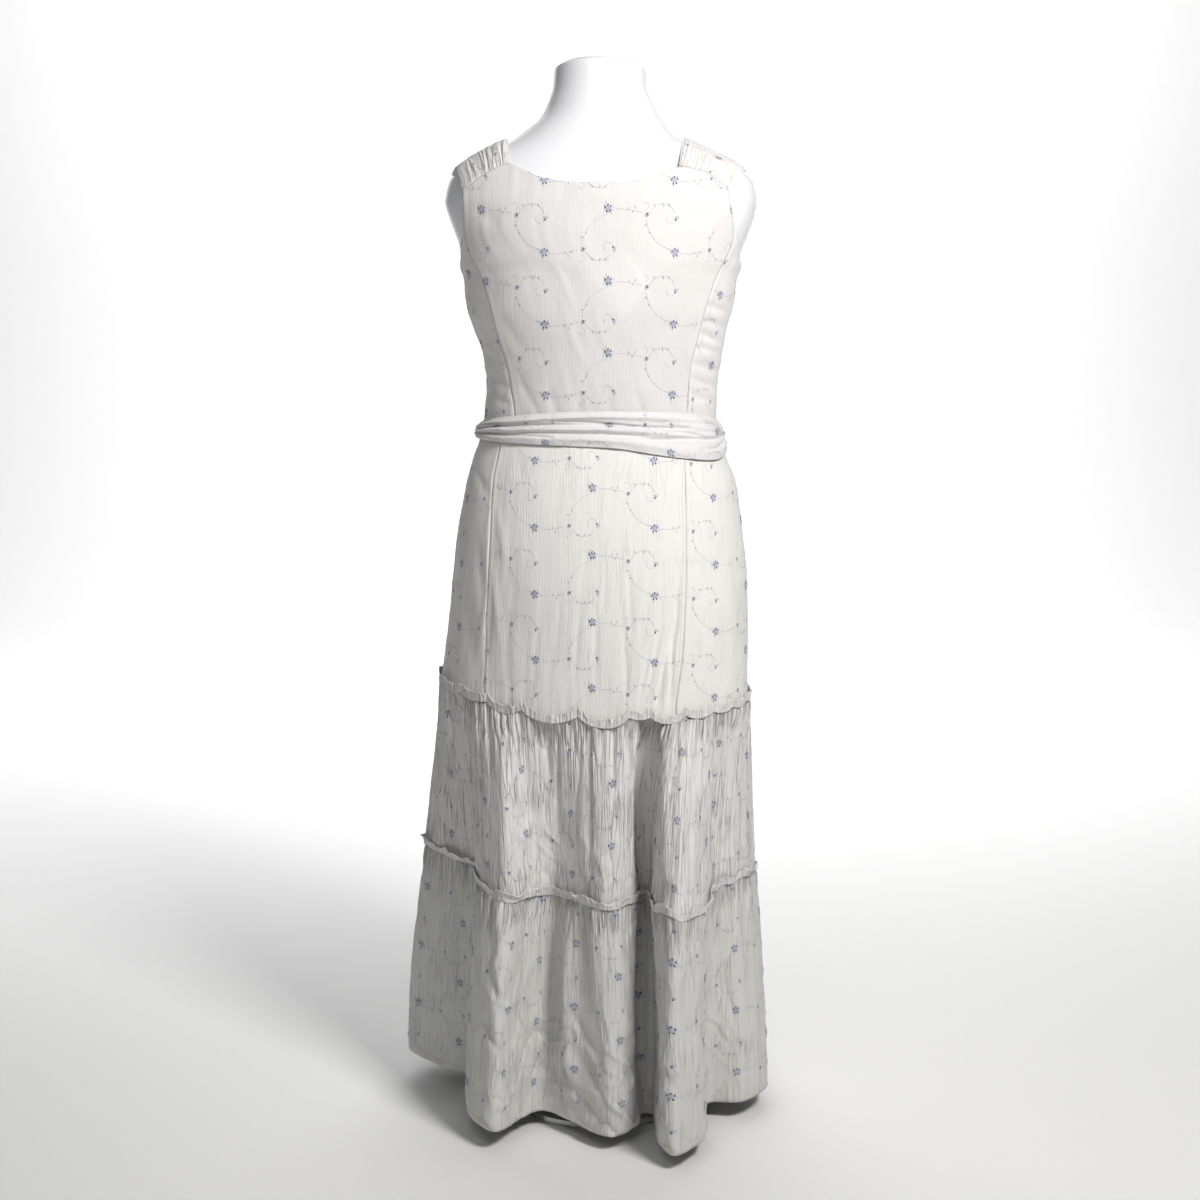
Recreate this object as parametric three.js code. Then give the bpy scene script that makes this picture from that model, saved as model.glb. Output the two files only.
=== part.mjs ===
// A sleeveless three-tier maxi dress of crinkled gauze, worn by a limbless dress form on a pole and a round
// base. Millimetres, +Z up, origin at the middle of the base's underside. The back of the dress faces -Y,
// left is -X. A turn is an angle round the body in degrees: 0 at the middle of the back, 90 at the right
// side (+X), 180 in front.
import * as THREE from 'three';

// Cloth and seams
const CLOTH = 1.2; // wall of the gauze with its crinkle
const HEM_CLOTH = 2.0; // the turned hem is doubled
const SEAM = 0.3; // gap between two pieces at a seam
const EASE = 4; // room between the form and the bodice

// Levels, as heights above the floor
const WAIST = 848;
const TIER_ONE = 520;
const TIER_TWO = 296;
const HEM = 20;
const UNDERARM = 1040;
const PRINCESS_AT_ARMHOLE = 1078;

// The left side of the skirt hangs higher than the right one, both higher than the middle of the back: the
// rise at the tier's side seams, how far those lie from the middle, and the share of it that is left at the
// hem
const RISE = { left: 20, right: 6, leftReach: 203, rightReach: 182, atHem: 0.75 };
// The skirt sits turned on the body, so its left side lies further from the viewer than its right side.
const SKIRT_TURN = 0.15;

// The dress form: half-widths to the left and right, depths to the back and front, and the roundness
// exponent
const FORM = [
  { z: 1275, left: 50, right: 50, back: 49, front: 49, square: 2.0 },
  { z: 1271, left: 55, right: 55, back: 54, front: 54, square: 2.0 },
  { z: 1252, left: 57, right: 56, back: 55, front: 54, square: 2.0 },
  { z: 1232, left: 64, right: 65, back: 58, front: 56, square: 2.0 },
  { z: 1218, left: 72, right: 73, back: 61, front: 58, square: 2.05 },
  { z: 1204, left: 89, right: 84, back: 66, front: 62, square: 2.1 },
  { z: 1192, left: 108, right: 101, back: 71, front: 66, square: 2.1 },
  { z: 1180, left: 133, right: 126, back: 77, front: 70, square: 2.15 },
  { z: 1168, left: 154, right: 150, back: 83, front: 75, square: 2.2 },
  { z: 1155, left: 172, right: 172, back: 88, front: 80, square: 2.2 },
  { z: 1140, left: 182, right: 184, back: 93, front: 86, square: 2.2 },
  { z: 1120, left: 186, right: 188, back: 98, front: 93, square: 2.2 },
  { z: 1100, left: 181, right: 185, back: 101, front: 99, square: 2.2 },
  { z: 1075, left: 172, right: 176, back: 104, front: 107, square: 2.2 },
  { z: 1050, left: 164, right: 166, back: 105, front: 114, square: 2.2 },
  { z: 1030, left: 159, right: 160, back: 104, front: 118, square: 2.2 },
  { z: 990, left: 153, right: 153, back: 101, front: 116, square: 2.2 },
  { z: 950, left: 139, right: 144, back: 95, front: 107, square: 2.15 },
  { z: 900, left: 131, right: 136, back: 88, front: 97, square: 2.1 },
  { z: 850, left: 130, right: 132, back: 84, front: 92, square: 2.1 },
  { z: 800, left: 143, right: 146, back: 92, front: 97, square: 2.1 },
  { z: 730, left: 162, right: 165, back: 108, front: 105, square: 2.15 },
  { z: 650, left: 172, right: 172, back: 119, front: 109, square: 2.2 },
  { z: 600, left: 170, right: 166, back: 117, front: 107, square: 2.2 },
  { z: 566, left: 162, right: 158, back: 111, front: 101, square: 2.2 },
  { z: 556, left: 152, right: 148, back: 101, front: 92, square: 2.2 },
];
const NECK_TILT = 0.17; // the neck's top face rises towards the back
const NECK_TILT_FROM = 1206;
const FORM_COLUMNS = 28;
const SHOULDER_FROM = 1050; // the form's shoulders lie above this level

// Faces in the panels: columns across each one, and rows down the seams that they share
const PANEL_COLUMNS = { bodiceCentre: 16, bodiceSide: 6, hipCentre: 10, hipSide: 5, hipFront: 20 };
const BODICE_SEAM_ROWS = 9;
const ARMHOLE_ROWS = 3;
const HIP_ROWS = 8;
const ARMHOLE_CURVE = 1.2; // how late the armhole levels out towards the side seam

// Outside of the dress below the underarm, measured from the outline; above it the dress follows the form
const DRESS = [
  { z: 1050, left: 169, right: 171, back: 110, front: 119, square: 2.2 },
  { z: 1030, left: 165, right: 166, back: 109, front: 123, square: 2.2 },
  { z: 990, left: 159, right: 159, back: 106, front: 121, square: 2.2 },
  { z: 966, left: 152, right: 153, back: 103, front: 116, square: 2.15 },
  { z: 942, left: 143, right: 149, back: 99, front: 111, square: 2.15 },
  { z: 900, left: 137, right: 142, back: 94, front: 103, square: 2.1 },
  { z: 862, left: 140, right: 141, back: 90, front: 98, square: 2.1 },
  { z: 835, left: 146, right: 146, back: 95, front: 101, square: 2.1 },
  { z: 809, left: 155, right: 155, back: 104, front: 107, square: 2.1 },
  { z: 785, left: 162, right: 165, back: 112, front: 112, square: 2.15 },
  { z: 711, left: 176, right: 175, back: 130, front: 124, square: 2.2 },
  { z: 662, left: 182, right: 180, back: 139, front: 131, square: 2.2 },
  { z: 612, left: 187, right: 180, back: 144, front: 136, square: 2.2 },
  { z: 562, left: 194, right: 180, back: 148, front: 139, square: 2.2 },
  { z: 500, left: 203, right: 182, back: 152, front: 142, square: 2.2 },
];

// Where the princess seams run, as distances from the middle
const BACK_BODICE_SEAMS = [
  { z: 1140, left: 161, right: 149 },
  { z: PRINCESS_AT_ARMHOLE, left: 160, right: 157 },
  { z: 1020, left: 137, right: 133 },
  { z: 962, left: 122, right: 117 },
  { z: 920, left: 109, right: 107 },
  { z: WAIST, left: 101, right: 103 },
];
const FRONT_BODICE_SEAMS = [
  { z: 1140, left: 150, right: 150 },
  { z: PRINCESS_AT_ARMHOLE, left: 158, right: 158 },
  { z: 1030, left: 104, right: 104 },
  { z: 962, left: 86, right: 86 },
  { z: 900, left: 78, right: 78 },
  { z: WAIST, left: 76, right: 76 },
];
const BACK_HIP_SEAMS = [
  { z: WAIST, left: 117, right: 97 },
  { z: 790, left: 127, right: 101 },
  { z: 700, left: 132, right: 101 },
  { z: 600, left: 137, right: 97 },
  { z: TIER_ONE, left: 138, right: 88 },
];

// Top edges of the centre panels, from the left armhole across the neckline to the right armhole
const BACK_TOP = [
  { x: -161, z: 1131 }, { x: -136, z: 1146 }, { x: -107, z: 1158 }, { x: -66, z: 1142 }, { x: -20, z: 1136 },
  { x: 20, z: 1136 }, { x: 60, z: 1142 }, { x: 91, z: 1154 }, { x: 122, z: 1148 }, { x: 148, z: 1131 },
];
const FRONT_TOP = [
  { x: -150, z: 1122 }, { x: -122, z: 1136 }, { x: -96, z: 1144 }, { x: -55, z: 1082 }, { x: -22, z: 1030 },
  { x: 0, z: 1006 }, { x: 22, z: 1030 }, { x: 55, z: 1082 }, { x: 96, z: 1144 }, { x: 122, z: 1136 },
  { x: 150, z: 1122 },
];

// A shoulder piece seen from above: its edge at the neck and at the armhole, over the shoulder's top and at
// its seams
const SHOULDERS = [
  { name: 'shoulder_left', side: -1, top: [109, 177], back: [106, 161], front: [97, 151] },
  { name: 'shoulder_right', side: 1, top: [99, 174], back: [91, 149], front: [97, 151] },
];
const SHOULDER_LIFT = 1.8; // room between the form and the inside of a shoulder piece
const SHOULDER_SEAM = 0.8; // room to the bodice, whose edge lies a little lower on its inside
const SHOULDER_ROWS = 8;
// The gathers of a shoulder piece: their height at the seam, the share of it over the shoulder's top, where
// the first one starts, and how much lower they are at the armhole than at the neck
const SHOULDER_GATHERS = { count: 9, height: 3, overTop: 0.35, start: 60, fade: 0.45, columns: 3 };

// The sash: its top and bottom edge round the waist. It is bunched at the left side, where it is drawn
// together.
const SASH = [
  { turn: -180, top: 868, bottom: 828, out: 1.3 },
  { turn: -120, top: 864, bottom: 830, out: 2 },
  { turn: -90, top: 852, bottom: 836, out: 3 },
  { turn: -55, top: 864, bottom: 834, out: 2 },
  { turn: 0, top: 873, bottom: 830, out: 1.3 },
  { turn: 35, top: 871, bottom: 817, out: 1.3 },
  { turn: 60, top: 866, bottom: 812, out: 2 },
  { turn: 90, top: 855, bottom: 822, out: 2 },
  { turn: 130, top: 864, bottom: 828, out: 1.3 },
  { turn: 180, top: 868, bottom: 828, out: 1.3 },
];
const SASH_WALL = 1.6;
const SASH_FOLDS = 3;
const SASH_FOLD_HEIGHT = 2.4;
const SASH_ROWS = 6;
const SASH_COLUMNS = 56;

// The skirt's big folds, each a ridge or a trough that runs down both tiers. turn is where it leaves the
// hip panels, the two points are where it stands at the seam between the tiers and at the hem, seen from
// above, and sets says how soon below a seam it is full: under 1 is soon.
const FOLDS = [
  { name: 'back ridge', turn: 2, mid: [6, -165], hem: [12, -182], sets: 0.9 },
  { name: 'back ridge flank', turn: 12, mid: [38, -140], hem: [43, -150], sets: 0.7 },
  { name: 'deep fold start', turn: 18, mid: [48, -94], hem: [52, -110], sets: 0.45 },
  { name: 'deep fold end', turn: 21, mid: [58, -96], hem: [62, -111], sets: 0.45 },
  { name: 'tube ridge flank', turn: 25, mid: [66, -176], hem: [68, -196], sets: 0.5 },
  { name: 'tube ridge', turn: 33, mid: [88, -209], hem: [86, -238], sets: 0.7 },
  { name: 'tube ridge end', turn: 43, mid: [121, -168], hem: [121, -196], sets: 0.8 },
  { name: 'right trough', turn: 52, mid: [138, -86], hem: [134, -82], sets: 0.7 },
  { name: 'right fold', turn: 66, mid: [166, -66], hem: [176, -82], sets: 0.9 },
  { name: 'right side', turn: 90, mid: [193, -12], hem: [212, -26], sets: 1 },
  { name: 'right front trough', turn: 107, mid: [174, 44], hem: [182, 42], sets: 0.9 },
  { name: 'right front ridge start', turn: 118, mid: [176, 90], hem: [201, 96], sets: 0.9 },
  { name: 'right front ridge end', turn: 129, mid: [150, 122], hem: [167, 140], sets: 0.9 },
  { name: 'front trough one', turn: 141, mid: [118, 114], hem: [121, 112], sets: 0.8 },
  { name: 'front ridge one start', turn: 151, mid: [101, 164], hem: [113, 186], sets: 0.8 },
  { name: 'front ridge one end', turn: 161, mid: [68, 178], hem: [74, 206], sets: 0.8 },
  { name: 'front trough two', turn: 171, mid: [38, 137], hem: [41, 138], sets: 0.7 },
  { name: 'front ridge two start', turn: 181, mid: [13, 171], hem: [16, 196], sets: 0.8 },
  { name: 'front ridge two end', turn: 192, mid: [-27, 173], hem: [-30, 201], sets: 0.8 },
  { name: 'front trough three', turn: 203, mid: [-62, 138], hem: [-62, 140], sets: 0.8 },
  { name: 'front ridge three start', turn: 213, mid: [-92, 170], hem: [-98, 195], sets: 0.8 },
  { name: 'front ridge three end', turn: 224, mid: [-127, 155], hem: [-142, 175], sets: 0.8 },
  { name: 'left front trough', turn: 236, mid: [-151, 114], hem: [-155, 108], sets: 0.9 },
  { name: 'left front ridge start', turn: 247, mid: [-182, 122], hem: [-198, 136], sets: 0.9 },
  { name: 'left front ridge end', turn: 257, mid: [-212, 92], hem: [-238, 98], sets: 0.9 },
  { name: 'left side', turn: 270, mid: [-222, 48], hem: [-247, 52], sets: 1 },
  { name: 'left side fold', turn: 287, mid: [-186, 4], hem: [-202, 10], sets: 1 },
  { name: 'left trough', turn: 300, mid: [-152, -14], hem: [-158, -20], sets: 0.8 },
  { name: 'left ridge edge', turn: 311, mid: [-149, -78], hem: [-160, -130], sets: 0.7 },
  { name: 'left ridge', turn: 325, mid: [-112, -140], hem: [-126, -180], sets: 0.8 },
  { name: 'left back trough', turn: 344, mid: [-58, -96], hem: [-70, -106], sets: 0.8 },
];
const COLUMNS_PER_FOLD = 3;
const GATHER_HEIGHT = 2.2;
const GATHER_SLOPE = 0.2; // a gather's height over the cloth that it has to itself, where folds turn tightly
const HEM_SETS = 1.6; // how soon below its seam tier two has its width at the hem
const TIER_ONE_ROWS = [0, 0.05, 0.13, 0.32, 0.64, 0.955, 1];
const TIER_TWO_ROWS = [0, 0.05, 0.13, 0.32, 0.64, 0.97, 1];
const GATHER_REACH = 0.24; // share of a tier's height over which its gathers fade

// The ruffled heading over each tier's seam
const HEADING = { height: 10, uneven: 0.15, wave: 2.4, slope: 0.25, wall: 1, clear: 0.6 };

// The stand
const POLE_RADIUS = 12.5;
const BASE_RADIUS = 112;
const BASE_THICKNESS = 10;
const BASE_ROUNDING = 2;
const HUB_RADIUS = 26;
const HUB_HEIGHT = 30;
const HUB_ROUNDING = 4;
const POLE_COLUMNS = 24;
const BASE_COLUMNS = 48;

const material = (color, roughness, metalness = 0) =>
  new THREE.MeshStandardMaterial({ color, roughness, metalness, side: THREE.DoubleSide });
const gauze = material(0xe6e3da, 0.95);
const sashGauze = material(0xdcdad6, 0.95);
const gloss = material(0xf4f4f2, 0.25);
const steel = material(0xc9c9c7, 0.35, 0.8);

const rad = THREE.MathUtils.degToRad;
const { lerp, clamp } = THREE.MathUtils;
const steps = (count) => Array.from({ length: count + 1 }, (_, k) => k / count);
const SETTLING = 6; // rounds in which a height and a point that depend on each other are found

// A column's value at a place along a table that is sorted by its key, rising or falling, on a smooth curve
function lookUp(table, key, column, at) {
  const order = table[0][key] < table[table.length - 1][key] ? 1 : -1;
  const last = table.length - 1;
  let i = 0;
  while (i < last - 1 && (table[i + 1][key] - at) * order < 0) i += 1;
  const t = clamp((at - table[i][key]) / (table[i + 1][key] - table[i][key]), 0, 1);
  const slope = (k) => {
    if (k === 0 || k === last) return 0;
    const before = (table[k][column] - table[k - 1][column]) / (table[k][key] - table[k - 1][key]);
    const after = (table[k + 1][column] - table[k][column]) / (table[k + 1][key] - table[k][key]);
    return before * after <= 0 ? 0 : (2 * before * after) / (before + after);
  };
  const span = table[i + 1][key] - table[i][key];
  const a = table[i][column];
  const b = table[i + 1][column];
  const s = t * t * (3 - 2 * t);
  return a + (b - a) * s + span * (slope(i) * t * (1 - t) ** 2 - slope(i + 1) * t * t * (1 - t));
}

const section = (table, z) => Object.fromEntries(
  ['left', 'right', 'back', 'front', 'square'].map((column) => [column, lookUp(table, 'z', column, z)]),
);

// The dress's section: it follows the form with the bodice's ease over the shoulders, and its own table
// below
const dressSection = (z) => {
  if (z <= DRESS[0].z) return section(DRESS, z);
  const body = section(FORM, z);
  const room = EASE + CLOTH;
  return {
    ...body,
    left: body.left + room,
    right: body.right + room,
    back: body.back + room,
    front: body.front + room,
  };
};

// How far the skirt is turned on the body at a height
const turned = (z) => SKIRT_TURN * THREE.MathUtils.smoothstep(WAIST - z, 0, WAIST - TIER_ONE);

// A point of a section at a turn, out by some extra millimetres
function onSection(shape, turn, z, out = 0, skew = 0) {
  const s = Math.sin(rad(turn));
  const c = Math.cos(rad(turn));
  const wide = s > 0 ? shape.right : shape.left;
  const deep = c > 0 ? shape.back : shape.front;
  const power = 2 / shape.square;
  const x = (wide + out) * Math.sign(s) * Math.abs(s) ** power;
  const y = -(deep + out) * Math.sign(c) * Math.abs(c) ** power;
  return new THREE.Vector3(x, y - skew * x, z);
}
const onForm = (turn, z) => onSection(section(FORM, z), turn, z);
const onDress = (turn, z, out = 0) => onSection(dressSection(z), turn, z, out, turned(z));

// The turn at which a panel's seam lies, from its distance to the middle
function seamTurn(table, column, z, inFront) {
  const shape = dressSection(z);
  const share = Math.min(lookUp(table, 'z', column, z) / shape[column], 1);
  const turn = THREE.MathUtils.radToDeg(Math.asin(share ** (shape.square / 2)));
  const fromMiddle = inFront ? 180 - turn : turn;
  return column === 'left' ? -fromMiddle : fromMiddle;
}

// The grid of points that lies a wall's thickness inside a grid. Edges are moved in level, so pieces that
// meet at a seam keep their gap. A closed grid joins its last column to its first.
function innerGrid(grid, thickness, { closed = false, level = true } = {}) {
  const lastRow = grid.length - 1;
  const count = grid[0].length;
  const at = (i, j) => grid[clamp(i, 0, lastRow)][
    closed ? (j + count) % count : clamp(j, 0, count - 1)];
  return grid.map((row, i) => row.map((point, j) => {
    const along = at(i, j + 1).clone().sub(at(i, j - 1));
    const down = at(i + 1, j).clone().sub(at(i - 1, j));
    const normal = down.cross(along);
    if (level || i === 0 || i === lastRow) normal.z = 0;
    return point.clone().addScaledVector(normal.normalize(), -thickness(i));
  }));
}

// The closed wall between an outer and an inner grid
function wallGeometry(outer, inner, closed = false) {
  const rows = outer.length;
  const count = outer[0].length;
  const positions = [...outer.flat(), ...inner.flat()].flatMap((p) => [p.x, p.y, p.z]);
  const index = [];
  const out = (i, j) => i * count + (j % count);
  const inn = (i, j) => rows * count + out(i, j);
  const quad = (a, b, c, d) => index.push(a, b, c, a, c, d);
  const lastRow = rows - 1;
  const spans = closed ? count : count - 1;
  for (let j = 0; j < spans; j += 1) {
    for (let i = 0; i < lastRow; i += 1) {
      quad(out(i, j), out(i + 1, j), out(i + 1, j + 1), out(i, j + 1));
      quad(inn(i, j), inn(i, j + 1), inn(i + 1, j + 1), inn(i + 1, j));
    }
    quad(out(0, j), out(0, j + 1), inn(0, j + 1), inn(0, j));
    quad(out(lastRow, j + 1), out(lastRow, j), inn(lastRow, j), inn(lastRow, j + 1));
  }
  if (!closed) {
    for (let i = 0; i < lastRow; i += 1) {
      quad(out(i + 1, 0), out(i, 0), inn(i, 0), inn(i + 1, 0));
      quad(out(i, spans), out(i + 1, spans), inn(i + 1, spans), inn(i, spans));
    }
  }
  return solidGeometry(positions, index);
}

// A geometry from points and faces, turned over when its faces point in
function solidGeometry(positions, index) {
  const corner = (k) => new THREE.Vector3().fromArray(positions, 3 * index[k]);
  let volume = 0;
  for (let k = 0; k < index.length; k += 3) {
    volume += corner(k).dot(corner(k + 1).cross(corner(k + 2)));
  }
  const geometry = new THREE.BufferGeometry();
  geometry.setAttribute('position', new THREE.Float32BufferAttribute(positions, 3));
  geometry.setIndex(volume < 0 ? index.slice().reverse() : index);
  geometry.computeVertexNormals();
  return geometry;
}

// A closed body through rings of points from the top down, with a flat fan over its first and its last ring
function loftGeometry(rings) {
  const count = rings[0].length;
  const positions = rings.flat().flatMap((p) => [p.x, p.y, p.z]);
  const index = [];
  for (let i = 0; i < rings.length - 1; i += 1) {
    for (let j = 0; j < count; j += 1) {
      const k = (j + 1) % count;
      const [a, b, c, d] = [i * count + j, (i + 1) * count + j, (i + 1) * count + k, i * count + k];
      index.push(a, b, c, a, c, d);
    }
  }
  for (const ring of [0, rings.length - 1]) {
    const middle = positions.length / 3;
    const centre = rings[ring].reduce((sum, p) => sum.add(p), new THREE.Vector3()).divideScalar(count);
    positions.push(centre.x, centre.y, centre.z);
    for (let j = 0; j < count; j += 1) {
      const pair = [ring * count + j, ring * count + ((j + 1) % count)];
      if (ring === 0) index.push(middle, pair[0], pair[1]);
      else index.push(middle, pair[1], pair[0]);
    }
  }
  return solidGeometry(positions, index);
}

const dressOnForm = new THREE.Group();

function addPiece(name, geometry, finish) {
  const mesh = new THREE.Mesh(geometry, finish);
  mesh.name = name;
  dressOnForm.add(mesh);
}

// A grid whose first and last column are drawn in by half a seam's gap, towards the columns beside them
function partedGrid(grid) {
  const towards = (from, to) => from.clone().addScaledVector(to.clone().sub(from).normalize(), SEAM / 2);
  return grid.map((row) => {
    const last = row.length - 1;
    return row.map((p, j) => {
      if (j === 0) return towards(p, row[1]);
      return j === last ? towards(p, row[last - 1]) : p;
    });
  });
}

// A panel between two seams, each a turn at a height and the first the smaller one, from its top edge down
// to its bottom edge. An edge is a height at a share across the panel, and it may depend on the point that
// it reaches there. Rows are shares of the way down, and panels that meet have theirs at the same heights
// along their seam.
function addPanel(name, { from, to, top, bottom, columns, rows }) {
  const grid = rows.map((v) => steps(columns).map((u) => {
    const across = (z) => lerp(from(z), to(z), u);
    const settle = (edge) => {
      let z = edge(u, onDress(across(WAIST), WAIST));
      for (let k = 0; k < SETTLING; k += 1) z = edge(u, onDress(across(z), z));
      return z;
    };
    const z = lerp(settle(top), settle(bottom), v);
    return onDress(across(z), z);
  }));
  const outer = partedGrid(grid);
  addPiece(name, wallGeometry(outer, innerGrid(outer, () => CLOTH)), gauze);
}

// The bodice: a centre panel and two side panels behind, and the same in front
const sides = [{ side: 'left', sign: -1 }, { side: 'right', sign: 1 }];
const bodiceBottom = WAIST + SEAM / 2;
for (const { place, seams, edge } of [
  { place: 'back', seams: BACK_BODICE_SEAMS, edge: BACK_TOP },
  { place: 'front', seams: FRONT_BODICE_SEAMS, edge: FRONT_TOP },
]) {
  const inFront = place === 'front';
  const corner = edge[0].z;
  const seamLevels = steps(BODICE_SEAM_ROWS).map((v) => lerp(PRINCESS_AT_ARMHOLE, bodiceBottom, v));
  const armholeLevels = steps(ARMHOLE_ROWS).slice(0, -1).map((v) => lerp(corner, PRINCESS_AT_ARMHOLE, v));
  const seam = (side) => (z) => seamTurn(seams, side, z, inFront);
  const leftOfFront = (z) => seam('left')(z) + 360;
  addPanel(`bodice_${place}_centre`, {
    from: seam(inFront ? 'right' : 'left'),
    to: inFront ? leftOfFront : seam('right'),
    top: (u, p) => lookUp(edge, 'x', 'z', clamp(p.x, edge[0].x, edge[edge.length - 1].x)),
    bottom: () => bodiceBottom,
    columns: PANEL_COLUMNS.bodiceCentre,
    rows: [...armholeLevels, ...seamLevels].map((z) => (corner - z) / (corner - bodiceBottom)),
  });
  for (const { side, sign } of sides) {
    const sideSeam = () => sign * 90;
    const seamFirst = (sign < 0) === inFront;
    const fromPrincess = (u) => (seamFirst ? u : 1 - u);
    addPanel(`bodice_${place}_side_${side}`, {
      from: seamFirst ? seam(side) : sideSeam,
      to: seamFirst ? sideSeam : seam(side),
      top: (u) => lerp(PRINCESS_AT_ARMHOLE, UNDERARM, Math.sin(rad(90 * fromPrincess(u))) ** ARMHOLE_CURVE),
      bottom: () => bodiceBottom,
      columns: PANEL_COLUMNS.bodiceSide,
      rows: steps(BODICE_SEAM_ROWS),
    });
  }
}

// The height by which the skirt is drawn up at a place from the middle
const rise = (x) => (x < 0 ? RISE.left * (x / RISE.leftReach) ** 2 : RISE.right * (x / RISE.rightReach) ** 2);

// Where the hip panels end and tier one starts
function onTierSeam(turn) {
  let seam = onDress(turn, TIER_ONE);
  for (let k = 0; k < SETTLING; k += 1) seam = onDress(turn, TIER_ONE + rise(seam.x));
  return seam;
}

// The hip: a centre panel and two side panels behind, and one panel in front
const hipEdges = {
  top: () => WAIST - SEAM / 2,
  bottom: (u, p) => TIER_ONE + rise(p.x) + SEAM / 2,
  rows: steps(HIP_ROWS),
};
const hipSeam = (side) => (z) => seamTurn(BACK_HIP_SEAMS, side, z, false);
for (const { name, from, to, columns } of [
  { name: 'hip_back_centre', from: hipSeam('left'), to: hipSeam('right'), columns: PANEL_COLUMNS.hipCentre },
  { name: 'hip_back_side_left', from: () => -90, to: hipSeam('left'), columns: PANEL_COLUMNS.hipSide },
  { name: 'hip_back_side_right', from: hipSeam('right'), to: () => 90, columns: PANEL_COLUMNS.hipSide },
  { name: 'hip_front', from: () => 90, to: () => 270, columns: PANEL_COLUMNS.hipFront },
]) addPanel(name, { from, to, columns, ...hipEdges });

// The form's height over a point of the shoulder, seen from above, found by halving
const HALVINGS = 30;
function shoulderHeight(x, y) {
  let [low, high] = [SHOULDER_FROM, FORM[0].z];
  for (let k = 0; k < HALVINGS; k += 1) {
    const z = (low + high) / 2;
    const shape = section(FORM, z);
    const reach = Math.abs(x / (x > 0 ? shape.right : shape.left)) ** shape.square
      + Math.abs(y / (y > 0 ? shape.front : shape.back)) ** shape.square;
    if (reach < 1) low = z;
    else high = z;
  }
  return (low + high) / 2;
}

// A point of the shoulder, lifted off the form along its normal, which is taken over a short step
function overShoulder(x, y, lift) {
  const step = 1.5;
  const z = shoulderHeight(x, y);
  const slope = (dx, dy) => (shoulderHeight(x + dx, y + dy) - shoulderHeight(x - dx, y - dy)) / (2 * step);
  const normal = new THREE.Vector3(-slope(step, 0), -slope(0, step), 1).normalize();
  return new THREE.Vector3(x, y, z).addScaledVector(normal, lift);
}

// How far behind or before the middle a shoulder piece meets its seam, at a distance from the middle
function seamDepth(x, z, inFront) {
  const shape = section(FORM, z);
  const share = Math.abs(x) / (x > 0 ? shape.right : shape.left);
  const depth = inFront ? shape.front : -shape.back;
  return depth * (1 - Math.min(share, 1) ** shape.square) ** (1 / shape.square);
}

// A shoulder piece: gathered at both seams, smoother over the top of the shoulder
for (const { name, side, top, back, front } of SHOULDERS) {
  const gathers = SHOULDER_GATHERS;
  const outwards = steps(gathers.columns * gathers.count);
  const grid = steps(SHOULDER_ROWS).map((v) => (side < 0 ? outwards : outwards.toReversed()).map((u) => {
    const s = 2 * v - 1;
    const ends = s < 0 ? back : front;
    const end = side * lerp(ends[0], ends[1], u);
    const x = lerp(side * lerp(top[0], top[1], u), end, s * s);
    const edge = s < 0 ? BACK_TOP : FRONT_TOP;
    const seamZ = lookUp(edge, 'x', 'z', end) + SHOULDER_SEAM;
    const y = Math.abs(s) * seamDepth(end, seamZ, s > 0);
    const gathered = lerp(gathers.overTop, 1, s * s);
    const fade = 1 - gathers.fade * u;
    const wave = Math.max(0, Math.cos(rad(360 * gathers.count * u + gathers.start))) * fade;
    const point = overShoulder(x, y, SHOULDER_LIFT + CLOTH + gathers.height * gathered * wave);
    if (v === 0 || v === 1) point.z = Math.max(point.z, seamZ);
    return point;
  }));
  addPiece(name, wallGeometry(grid, innerGrid(grid, () => CLOTH, { level: false })), gauze);
}

// The sash, soft folds along its length, in a back and a front stretch
const sashGrid = steps(SASH_ROWS).map((v) => steps(SASH_COLUMNS).slice(0, -1).map((t) => {
  const turn = 360 * t - 90;
  const tableTurn = turn > 180 ? turn - 360 : turn;
  const [high, low, out] = ['top', 'bottom', 'out'].map((column) => lookUp(SASH, 'turn', column, tableTurn));
  const fold = SASH_FOLD_HEIGHT * Math.abs(Math.sin(Math.PI * SASH_FOLDS * v));
  return onDress(turn, lerp(high, low, v), SEAM + SASH_WALL + out + fold);
}));

// The part of a closed grid from one column to another, as a grid of its own
const stretch = (grid, from, to) => grid.map((row) => Array.from(
  { length: to - from + 1 },
  (_, k) => row[(from + k) % row.length],
));

// A closed ring of cloth, parted at both side seams into a back and a front panel
function addRing(name, grid, sideSeams, thickness, finish) {
  const inner = innerGrid(grid, thickness, { closed: true });
  const count = grid[0].length;
  const [left, right] = sideSeams;
  for (const [place, from, to] of [['back', left, right], ['front', right, left]]) {
    const end = to > from ? to : to + count;
    const outerPart = partedGrid(stretch(grid, from, end));
    const innerPart = partedGrid(stretch(inner, from, end));
    addPiece(`${name}_${place}`, wallGeometry(outerPart, innerPart), finish);
  }
}
addRing('sash', sashGrid, [0, SASH_COLUMNS / 2], () => SASH_WALL, sashGauze);

// The skirt's plan: a smooth closed curve through the folds' points at a level
const planAt = (level) => new THREE.CatmullRomCurve3(
  FOLDS.map((fold) => new THREE.Vector3(fold[level][0], fold[level][1], 0)), true, 'centripetal',
);
const midPlan = planAt('mid');
const hemPlan = planAt('hem');
const foldTable = [-2, -1, 0, 1].flatMap((lap) => FOLDS.map((fold, k) => ({
  place: k + FOLDS.length * lap, turn: fold.turn + 360 * lap, sets: fold.sets,
})));
const skirtColumns = FOLDS.length * COLUMNS_PER_FOLD;

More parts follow.
